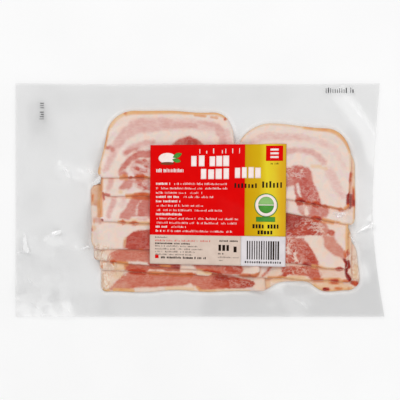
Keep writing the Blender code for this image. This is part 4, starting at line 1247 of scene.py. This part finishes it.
class Finish:
    """A material's nodes, with a short call for each kind that the finishes use."""

    def __init__(self, name):
        self.material = bpy.data.materials.new(name)
        self.material.use_nodes = True
        self.tree = self.material.node_tree
        self.surface = self.tree.nodes["Principled BSDF"]
        self.place = self.add("ShaderNodeTexCoord", "Object", {})

    def add(self, kind, output, inputs, **settings):
        return add_node(self.tree, kind, output, inputs, **settings)

    def field(self, name):
        return self.add("ShaderNodeAttribute", "Fac", {}, attribute_name=name)

    def noise(self, size, detail=2, stretch=(1, 1, 1), warp=0):
        """Noise whose grain is that many millimetres."""
        place = self.add("ShaderNodeMapping", "Vector", {"Vector": self.place, "Scale": stretch})
        inputs = {"Vector": place, "Scale": 1 / (size * MM), "Detail": detail, "Distortion": warp}
        return self.add("ShaderNodeTexNoise", "Fac", inputs)

    def calculate(self, operation, *values):
        return self.add("ShaderNodeMath", "Value", dict(enumerate(values)), operation=operation)

    def times(self, first, second):
        return self.calculate("MULTIPLY", first, second)

    def sum(self, first, second, times=1.0, offset=0.0):
        """first + second * times + offset."""
        product = self.calculate("MULTIPLY_ADD", second, times, offset)
        return self.calculate("ADD", product, first)

    def between(self, value, low, high):
        """0 below low, 1 above high, with a smooth step between."""
        inputs = {"Value": value, "From Min": low, "From Max": high}
        return self.add("ShaderNodeMapRange", "Result", inputs, interpolation_type="SMOOTHSTEP")

    def off_middle(self, noise):
        """How far noise is from its middle value. It is 0 along thin winding lines."""
        return self.calculate("ABSOLUTE", self.sum(-0.5, noise))

    def lines(self, away, width):
        """1 on those lines, fading to 0 at that distance from the middle value."""
        return self.calculate("SUBTRACT", 1, self.between(away, 0.0, width))

    def ramp(self, value, *stops):
        node = self.tree.nodes.new("ShaderNodeValToRGB")
        put(self.tree, node.inputs["Fac"], value)
        elements = node.color_ramp.elements
        for _ in stops[2:]:
            elements.new(0.5)
        for element, (position, colour) in zip(elements, stops, strict=True):
            element.position = position
            element.color = colour
        return node.outputs["Color"]

    def screen_ramp(self, value, stops):
        """A ramp of colours as a screen shows them."""
        return self.ramp(value, *[(position, screen(*colour)) for position, colour in stops])

    def mix(self, share, first, second):
        return self.add("ShaderNodeMix", 2, {0: share, 6: first, 7: second}, data_type="RGBA")

    def relief(self, height, distance, strength=1.0):
        """Fine relief, given in millimetres."""
        inputs = {"Height": height, "Distance": distance * MM, "Strength": strength}
        put(self.tree, self.surface.inputs["Normal"], self.add("ShaderNodeBump", "Normal", inputs))

    def set(self, **values):
        for key, value in values.items():
            name = key.replace("_", " ").title().replace("Ior", "IOR")
            put(self.tree, self.surface.inputs[name], value)


def fat_colour(finish, level):
    """Fat in soft clouds of several hues, paler on the slices that lie higher."""
    cloud = finish.noise(11, 3)
    high = finish.between(level, 0.2, 0.7)
    fat = finish.mix(high, finish.screen_ramp(cloud, LOWER_FAT), finish.screen_ramp(cloud, UPPER_FAT))
    hues = finish.screen_ramp(finish.noise(5.5, 2, warp=0.4), FAT_HUES)
    return finish.mix(finish.calculate("MULTIPLY_ADD", high, 0.2, 0.25), fat, hues)


def lean_colour(finish, level, coarse, fibre):
    """Lean from pale pink to deep red, cooler on the slices that lie higher."""
    tone = finish.sum(finish.field("tone"), coarse, 0.22, -0.11)
    tone = finish.sum(tone, fibre, 0.26, -0.13)
    high = finish.between(level, 0.3, 0.75)
    return finish.mix(high, finish.screen_ramp(tone, WARM_LEAN), finish.screen_ramp(tone, COOL_LEAN))


def fatty_share(finish):
    """How much fat runs through the lean, in blotches and thin veins."""
    blotch = finish.between(finish.noise(3, 3, VEIN_STRETCH, 0.5), 0.54, 0.66)
    large = finish.off_middle(finish.noise(5.6, 3, VEIN_STRETCH, 0.5))
    small = finish.off_middle(finish.noise(3.7, 2, (0.9, 1.1, 1), 0.3))
    veins = finish.lines(finish.calculate("MINIMUM", large, small), VEIN_WIDTH)
    veins = finish.times(veins, finish.between(finish.noise(6, 2), 0.38, 0.52))
    fatty = finish.calculate("MAXIMUM", finish.times(blotch, BLOTCH_SHARE), veins)
    marble = finish.calculate("MAXIMUM", finish.field("marble"), LEAST_MARBLE)
    return finish.times(fatty, marble)


def lean_share(finish, coarse, fine):
    """How much of the meat is lean: the painted streaks, with ragged edges and less the fat in them."""
    edge = finish.sum(finish.field("lean"), coarse, 2.4, -1.2)
    edge = finish.sum(edge, fine, 1.4, -0.7)
    soft = finish.calculate("MULTIPLY_ADD", finish.field("tone"), -1.5, 1.9)
    share = finish.between(edge, finish.times(soft, -1), soft)
    return finish.times(share, finish.calculate("MULTIPLY_ADD", fatty_share(finish), -MARBLE_SHARE, 1))


def crumpled(finish, flesh):
    """The meat where it is crumpled: a painted highlight along its crests and darker gold-tan lines along its
    grooves, and how rough it is there.
    """
    crinkle = finish.field("crinkle")
    crest = finish.lines(finish.off_middle(finish.noise(5, 3, (1.3, 0.7, 1), 1.2)), CREST_WIDTH)
    groove = finish.lines(finish.off_middle(finish.noise(4, 3, (1.2, 0.6, 1), 1.4)), GROOVE_WIDTH)
    flesh = finish.mix(finish.times(crest, crinkle), flesh, screen(*CREST_HIGHLIGHT_COLOUR))
    darker_grooves = finish.times(finish.times(groove, crinkle), 0.6)
    flesh = finish.mix(darker_grooves, flesh, screen(*GROOVE_COLOUR))
    return flesh, finish.times(finish.calculate("SUBTRACT", crest, groove), crinkle)


def stained(finish, flesh, coarse, fine):
    """The meat with smoke stains over it, from gold to dark red, with ragged edges, and the same colours as
    painted shade next to the edges of slices on top.
    """
    char = finish.sum(finish.field("char"), coarse, 0.3, -0.15)
    ragged = finish.sum(finish.field("stain"), fine, 0.4, -0.2)
    ragged = finish.sum(ragged, coarse, 0.4, -0.2)
    share = finish.calculate("MINIMUM", finish.between(ragged, 0.12, 0.66), finish.field("stain"))
    return finish.mix(share, flesh, finish.screen_ramp(char, SMOKE))


def bacon_finish():
    """Fat, lean and smoke-stained edge, from the fields painted on each slice, with painted shade next to the
    edges of slices on top and a painted highlight on crumpled crests.
    """
    finish = Finish("cured_bacon")
    coarse = finish.noise(4.5, 3)
    fine = finish.noise(1.1, 2)
    fibre = finish.noise(1.5, 3, stretch=(0.4, 1.3, 1), warp=0.5)
    level = finish.field("level")
    fat = fat_colour(finish, level)
    lean = lean_colour(finish, level, coarse, fibre)
    flesh = finish.mix(lean_share(finish, coarse, fine), fat, lean)
    flesh, rough = crumpled(finish, flesh)
    # Painted shade next to the edge of a slice on top, mixed towards a warm colour.
    shadow = finish.times(finish.field("contact"), CONTACT_SHARE)
    flesh = finish.mix(shadow, flesh, screen(*CONTACT_SHADE_COLOUR))
    finish.set(base_color=stained(finish, flesh, coarse, fine), roughness=0.4)
    finish.set(subsurface_weight=0.1, subsurface_radius=(2.5, 1.0, 0.6), subsurface_scale=MM)
    finish.set(specular_ior_level=MEAT_GLOSS)
    finish.relief(finish.sum(finish.sum(fine, fibre, 0.8), rough, 1.4), 0.12)
    return finish.material


def film_finish():
    """Clear film, greyer over the border, with painted highlights along its creases and painted light and
    shade in soft patches and on crumpled facets.
    """
    finish = Finish("clear_film")
    streak = finish.noise(10, 3, stretch=(1, 0.6, 1), warp=0.8)
    fine = finish.noise(2.2, 2)
    border = finish.between(finish.field("gap"), 0, 5)
    haze_and_painted_light = finish.sum(finish.calculate("MULTIPLY_ADD", border, 0.28, 0.26), finish.field("shade"))
    haze_and_painted_light = finish.sum(haze_and_painted_light, streak, 0.2, -0.1)
    # Crumpled facets, each painted a little lighter or darker as painted light and shade.
    cells = {"Vector": finish.place, "Scale": 1 / FACET_SIZE}
    facets = finish.add("ShaderNodeTexVoronoi", "Color", cells, feature="F1")
    facet_shade = finish.times(finish.between(facets, 0.25, 0.8), 0.5)
    facet_shade = finish.calculate("SUBTRACT", facet_shade, 0.2)
    haze_and_painted_light = finish.sum(haze_and_painted_light, finish.times(facet_shade, finish.field("crumple_shading")))
    # A painted highlight along the creases, whiter and less clear.
    crease = finish.between(finish.sum(finish.field("crease"), fine, 0.3, -0.15), 0.35, 0.95)
    haze_and_painted_light = finish.sum(haze_and_painted_light, crease)
    shade = finish.ramp(haze_and_painted_light, (0.0, FILM_DARK), (1.0, FILM_WHITE))
    clear = finish.calculate("MULTIPLY_ADD", border, 0.062, 0.048)
    alpha = finish.sum(clear, finish.between(crease, 0.3, 1), 0.8)
    finish.set(base_color=shade, roughness=0.14, alpha=alpha, ior=2.0, specular_ior_level=0.8)
    finish.relief(finish.sum(streak, fine, 0.15), 0.5, 0.6)
    return finish.material


def ink(finish, colour, roughness):
    """Ink on film: nearly no gloss of its own, and faintly uneven."""
    finish.set(base_color=colour, roughness=roughness, specular_ior_level=INK_GLOSS)
    finish.relief(finish.noise(1.2, 2), 0.02, 0.5)
    return finish.material


def ink_finish(name, colour, darker):
    """A flat printed colour, mottled with a darker one."""
    finish = Finish(name)
    mottle = finish.sum(finish.noise(5, 2), finish.noise(0.5, 1), 0.3)
    return ink(finish, finish.screen_ramp(mottle, ((0.35, darker), (0.85, colour))), INK_ROUGHNESS)


def panel_finish(name, left, right, stops):
    """A printed panel whose colour changes from side to side."""
    finish = Finish(name)
    x = finish.add("ShaderNodeSeparateXYZ", "X", {"Vector": finish.place})
    run = finish.add("ShaderNodeMapRange", "Result", {"Value": x, "From Min": left, "From Max": right})
    across = finish.sum(run, finish.noise(6, 2), 0.1, -0.05)
    return ink(finish, finish.screen_ramp(across, stops), PANEL_ROUGHNESS)


def floor_finish():
    finish = Finish("pale_floor")
    shade = finish.ramp(finish.noise(60, 2), (0.3, FLOOR_DARK), (0.7, FLOOR_LIGHT))
    finish.set(base_color=shade, roughness=0.7)
    return finish.material


def marks_tree():
    """A geometry node tree that sets upright marks in a row, of uneven width and height, with gaps."""
    tree = bpy.data.node_groups.new("row_of_marks", "GeometryNodeTree")
    for name, kind in MARK_INPUTS.items():
        tree.interface.new_socket(name, in_out="INPUT", socket_type="NodeSocket" + kind)
    tree.interface.new_socket("Geometry", in_out="OUTPUT", socket_type="NodeSocketGeometry")
    given = tree.nodes.new("NodeGroupInput").outputs
    made = tree.nodes.new("NodeGroupOutput").inputs["Geometry"]

    def calculate(operation, first, second):
        return add_node(tree, "ShaderNodeMath", 0, {0: first, 1: second}, operation=operation)

    def draw(low, high, offset):
        """A random number for each mark."""
        seed = calculate("ADD", given["Seed"], offset)
        inputs = {"Seed": seed, 2: low, 3: high}
        return add_node(tree, "FunctionNodeRandomValue", 1, inputs, data_type="FLOAT")

    offset = add_node(tree, "ShaderNodeCombineXYZ", "Vector", {"X": given["Step"]})
    inputs = {"Count": given["Count"], "Offset": offset}
    line = add_node(tree, "GeometryNodeMeshLine", "Mesh", inputs, mode="OFFSET")
    width = calculate("MULTIPLY", draw(given["Thinnest"], given["Widest"], 1), given["Step"])
    height = calculate("MULTIPLY", draw(given["Lowest"], 1.0, 2), given["Height"])
    size = add_node(tree, "ShaderNodeCombineXYZ", "Vector", {"X": width, "Y": height, "Z": 1})
    inputs = {0: draw(0.0, 1.0, 3), 1: given["Kept"]}
    settings = {"data_type": "FLOAT", "operation": "LESS_THAN"}
    kept = add_node(tree, "FunctionNodeCompare", "Result", inputs, **settings)
    inputs = {"Vertices X": given["Columns"], "Vertices Y": given["Rows"]}
    bar = add_node(tree, "GeometryNodeMeshCube", "Mesh", inputs)
    inputs = {"Translation": (0, 0.5, 0.5), "Geometry": bar}
    standing = add_node(tree, "GeometryNodeTransform", "Geometry", inputs)
    inputs = {"Points": line, "Selection": kept, "Instance": standing, "Scale": size}
    copies = add_node(tree, "GeometryNodeInstanceOnPoints", "Instances", inputs)
    real = add_node(tree, "GeometryNodeRealizeInstances", "Geometry", {"Geometry": copies})
    inputs = {"Geometry": real, "Material": given["Ink"]}
    tree.links.new(add_node(tree, "GeometryNodeSetMaterial", "Geometry", inputs), made)
    return tree


def row_of_marks(tree, material, length, height, style, seed):
    """A row's points and faces: x along the row, y upwards and z from 0 to 1 through the ink."""
    step, thin, wide, lowest, kept = map(float, style)
    holder = bpy.data.objects.new("row", bpy.data.meshes.new("row"))
    bpy.context.scene.collection.objects.link(holder)
    modifier = holder.modifiers.new("marks", "NODES")
    modifier.node_group = tree
    values = {
        "Count": max(1, round(length / step)), "Step": step, "Height": float(height),
        "Thinnest": thin, "Widest": wide, "Lowest": lowest, "Kept": kept,
        "Rows": max(2, math.ceil(height / LABEL_STEP) + 1),
        "Columns": max(2, math.ceil(step / LABEL_STEP) + 1), "Seed": seed, "Ink": material,
    }
    for item in tree.interface.items_tree:
        if item.in_out == "INPUT":
            modifier[item.identifier] = values[item.name]
    graph = bpy.context.evaluated_depsgraph_get()
    mesh = bpy.data.meshes.new_from_object(holder.evaluated_get(graph))
    bpy.data.objects.remove(holder, do_unlink=True)
    points = np.empty(len(mesh.vertices) * 3)
    mesh.vertices.foreach_get("co", points)
    return points.reshape(-1, 3), [tuple(face.vertices) for face in mesh.polygons]


def rows_piece(name, tree, rows, material, bed, seed):
    """Rows of marks laid on the label as one piece."""
    patches = []
    for number, (left, right, top, bottom, style) in enumerate(rows):
        place, faces = row_of_marks(tree, material, right - left, bottom - top, style, seed + number)
        flat = on_label(np.column_stack([left + style[0] / 2 + place[:, 0], bottom - place[:, 1]]))
        height = sample(bed, flat) + PANEL_LIFT + MARK_LIFT * place[:, 2]
        patches.append((np.column_stack([flat, height]), faces))
    return joined(name, patches, material)


def motifs():
    """The plain motifs on the label: each one's name, ink, lift, thickness and shapes."""
    on_field = PANEL_LIFT + MARK_LIFT
    on_mark = on_field + MARK_LIFT
    rounds = [oval(*ROUND, 8.2, 8.2), oval(12.8, 10.2, 6.6, 4.1)]
    bars = [plate(90.6, y, 96.9, y + 1.5) for y in (3.4, 6.2, 9)]
    leaves = [leaf(17, 9.6, 7.4, 3.6, 24), leaf(16.6, 11.2, 6.6, 3.2, -14)]
    lower_half = oval(87.7, 45.8, 5.9, 5.9, 0.5, 0.5)
    upper_half = oval(87.7, 45.2, 5.9, 5.9, 0.0, 0.5)
    return (
        ("rounds", "white", PANEL_LIFT * 1.5, MARK_LIFT, rounds),
        ("round_edge", "green", PANEL_LIFT, MARK_LIFT / 2, [oval(*ROUND, 8.9, 8.9)]),
        ("emblem", "red", PANEL_LIFT, MARK_LIFT, [plate(87.3, 1.2, 100.2, 12.6)]),
        ("emblem_bars", "white", on_field, MARK_LIFT, bars),
        ("green_marks", "green", on_mark, MARK_LIFT, [*leaves, lower_half, plate(80.2, 54.4, 94.6, 58)]),
        ("light_green_marks", "light_green", on_mark, MARK_LIFT, [upper_half]),
        ("brown_marks", "brown", on_mark, MARK_LIFT, [oval(12.8, 14.2, 5.2, 1.1)]),
    )


def label_pieces(bed, tree):
    """The label and its print, from the sheet up."""
    top = bed + LABEL_GAP + LABEL_THICKNESS
    inks = {name: ink_finish("label_" + name, *colours) for name, colours in INKS.items()}
    left, right = on_label([(GOLD_LEFT, 0), (LABEL_WIDTH, 0)])[:, 0]
    inks["gold"] = panel_finish("label_gold", left, right, GOLD_STOPS)
    whole = [plate(0, 0, LABEL_WIDTH, LABEL_HEIGHT)]
    pieces = [printed("label_sheet", whole, bed, LABEL_GAP, LABEL_THICKNESS, inks["red"])]
    for name, corners in FIELDS.items():
        pieces.append(printed(f"label_{name}_field", [plate(*corners)], top, 0, PANEL_LIFT, inks[name]))
    for name, seed, rows in MARK_ROWS:
        pieces.append(rows_piece(f"label_{name}_marks", tree, rows, inks[name], top, seed))
    for name, colour, lift, thickness, shapes in motifs():
        pieces.append(printed("label_" + name, shapes, top, lift, thickness, inks[colour]))
    for piece in pieces:
        finish_piece(piece, "label_print")
    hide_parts("label")


def date_marks(skin, tree):
    """Small dot-printed marks on the film, at its upper corners."""
    dark = ink_finish("date_ink", *DATE_INK)
    patches = []
    for number, ((x, y), (along_x, along_y), length, height) in enumerate(DATE_ROWS):
        place, faces = row_of_marks(tree, dark, length, height, DATE_STYLE, DATE_SEED + number)
        flat_x = x + place[:, 0] * along_x - place[:, 1] * along_y
        flat_y = y + place[:, 0] * along_y + place[:, 1] * along_x
        flat = np.column_stack([flat_x, flat_y]) * MM
        patches.append((np.column_stack([flat, skin(flat) + MARK_LIFT * (1 + place[:, 2])]), faces))
    finish_piece(joined("date_marks", patches, dark), "label_print")


def film_surface(film):
    """A function that gives the height of the film's top at any point, from its own mesh."""
    points = [vertex.co for vertex in film.data.vertices]
    tree = BVHTree.FromPolygons(points, [tuple(face.vertices) for face in film.data.polygons])

    def height(flat):
        down = Vector((0, 0, -1))
        return np.array([tree.ray_cast(Vector((x, y, 1)), down)[0].z for x, y in flat])

    return height


def studio():
    """A pale floor, soft light from all round and a camera that looks straight down."""
    bpy.ops.mesh.primitive_plane_add(size=FLOOR_SIZE, location=(0, 0, 0))
    floor = bpy.context.object
    floor.name = "floor"
    floor.data.materials.append(floor_finish())
    world = bpy.context.scene.world or bpy.data.worlds.new("studio")
    bpy.context.scene.world = world
    world.use_nodes = True
    sky = world.node_tree.nodes["Background"]
    sky.inputs["Color"].default_value = (1, 1, 1, 1)
    sky.inputs["Strength"].default_value = SKY_STRENGTH
    for name, place, size, power in LIGHTS:
        lamp = bpy.data.lights.new(name, "AREA")
        lamp.size = size
        lamp.energy = power
        holder = bpy.data.objects.new(name, lamp)
        holder.location = place
        holder.rotation_euler = (-Vector(place)).to_track_quat("-Z", "Y").to_euler()
        bpy.context.scene.collection.objects.link(holder)
    camera = bpy.data.objects.new("camera", bpy.data.cameras.new("camera"))
    camera.data.lens = LENS
    camera.data.sensor_width = SENSOR
    camera.location = (0, 0, VIEW_WIDTH * LENS / SENSOR)
    bpy.context.scene.collection.objects.link(camera)
    bpy.context.scene.camera = camera
    bpy.context.scene.view_settings.view_transform = "Standard"


def main():
    random = np.random.default_rng(SEED)
    bacon = bacon_finish()
    rings = []
    for name, corners, radii in SLICES:
        ring = wavy(rounded_outline(corners, radii, SLICE_STEP), random)
        rings.append(dented(ring, *DENTS[name]) if name in DENTS else ring)
    stack = np.zeros_like(CELLS_X)
    for number, (name, _, _) in enumerate(SLICES):
        top, stack = laid(stack, rings[number])
        above = [(rings[k], MARKS[SLICES[k][0]]) for k in range(number + 1, len(SLICES))]
        piece = slice_piece(name, rings[number], top, number, above)
        piece.data.materials.append(bacon)
        finish_piece(piece, "bacon_under_film", "pouch")
    bed = label_bed(stack)
    film = film_piece(stack, bed)
    film.data.materials.append(film_finish())
    finish_piece(film, "bacon_under_film", "pouch")
    tree = marks_tree()
    label_pieces(bed, tree)
    date_marks(film_surface(film), tree)
    studio()


main()
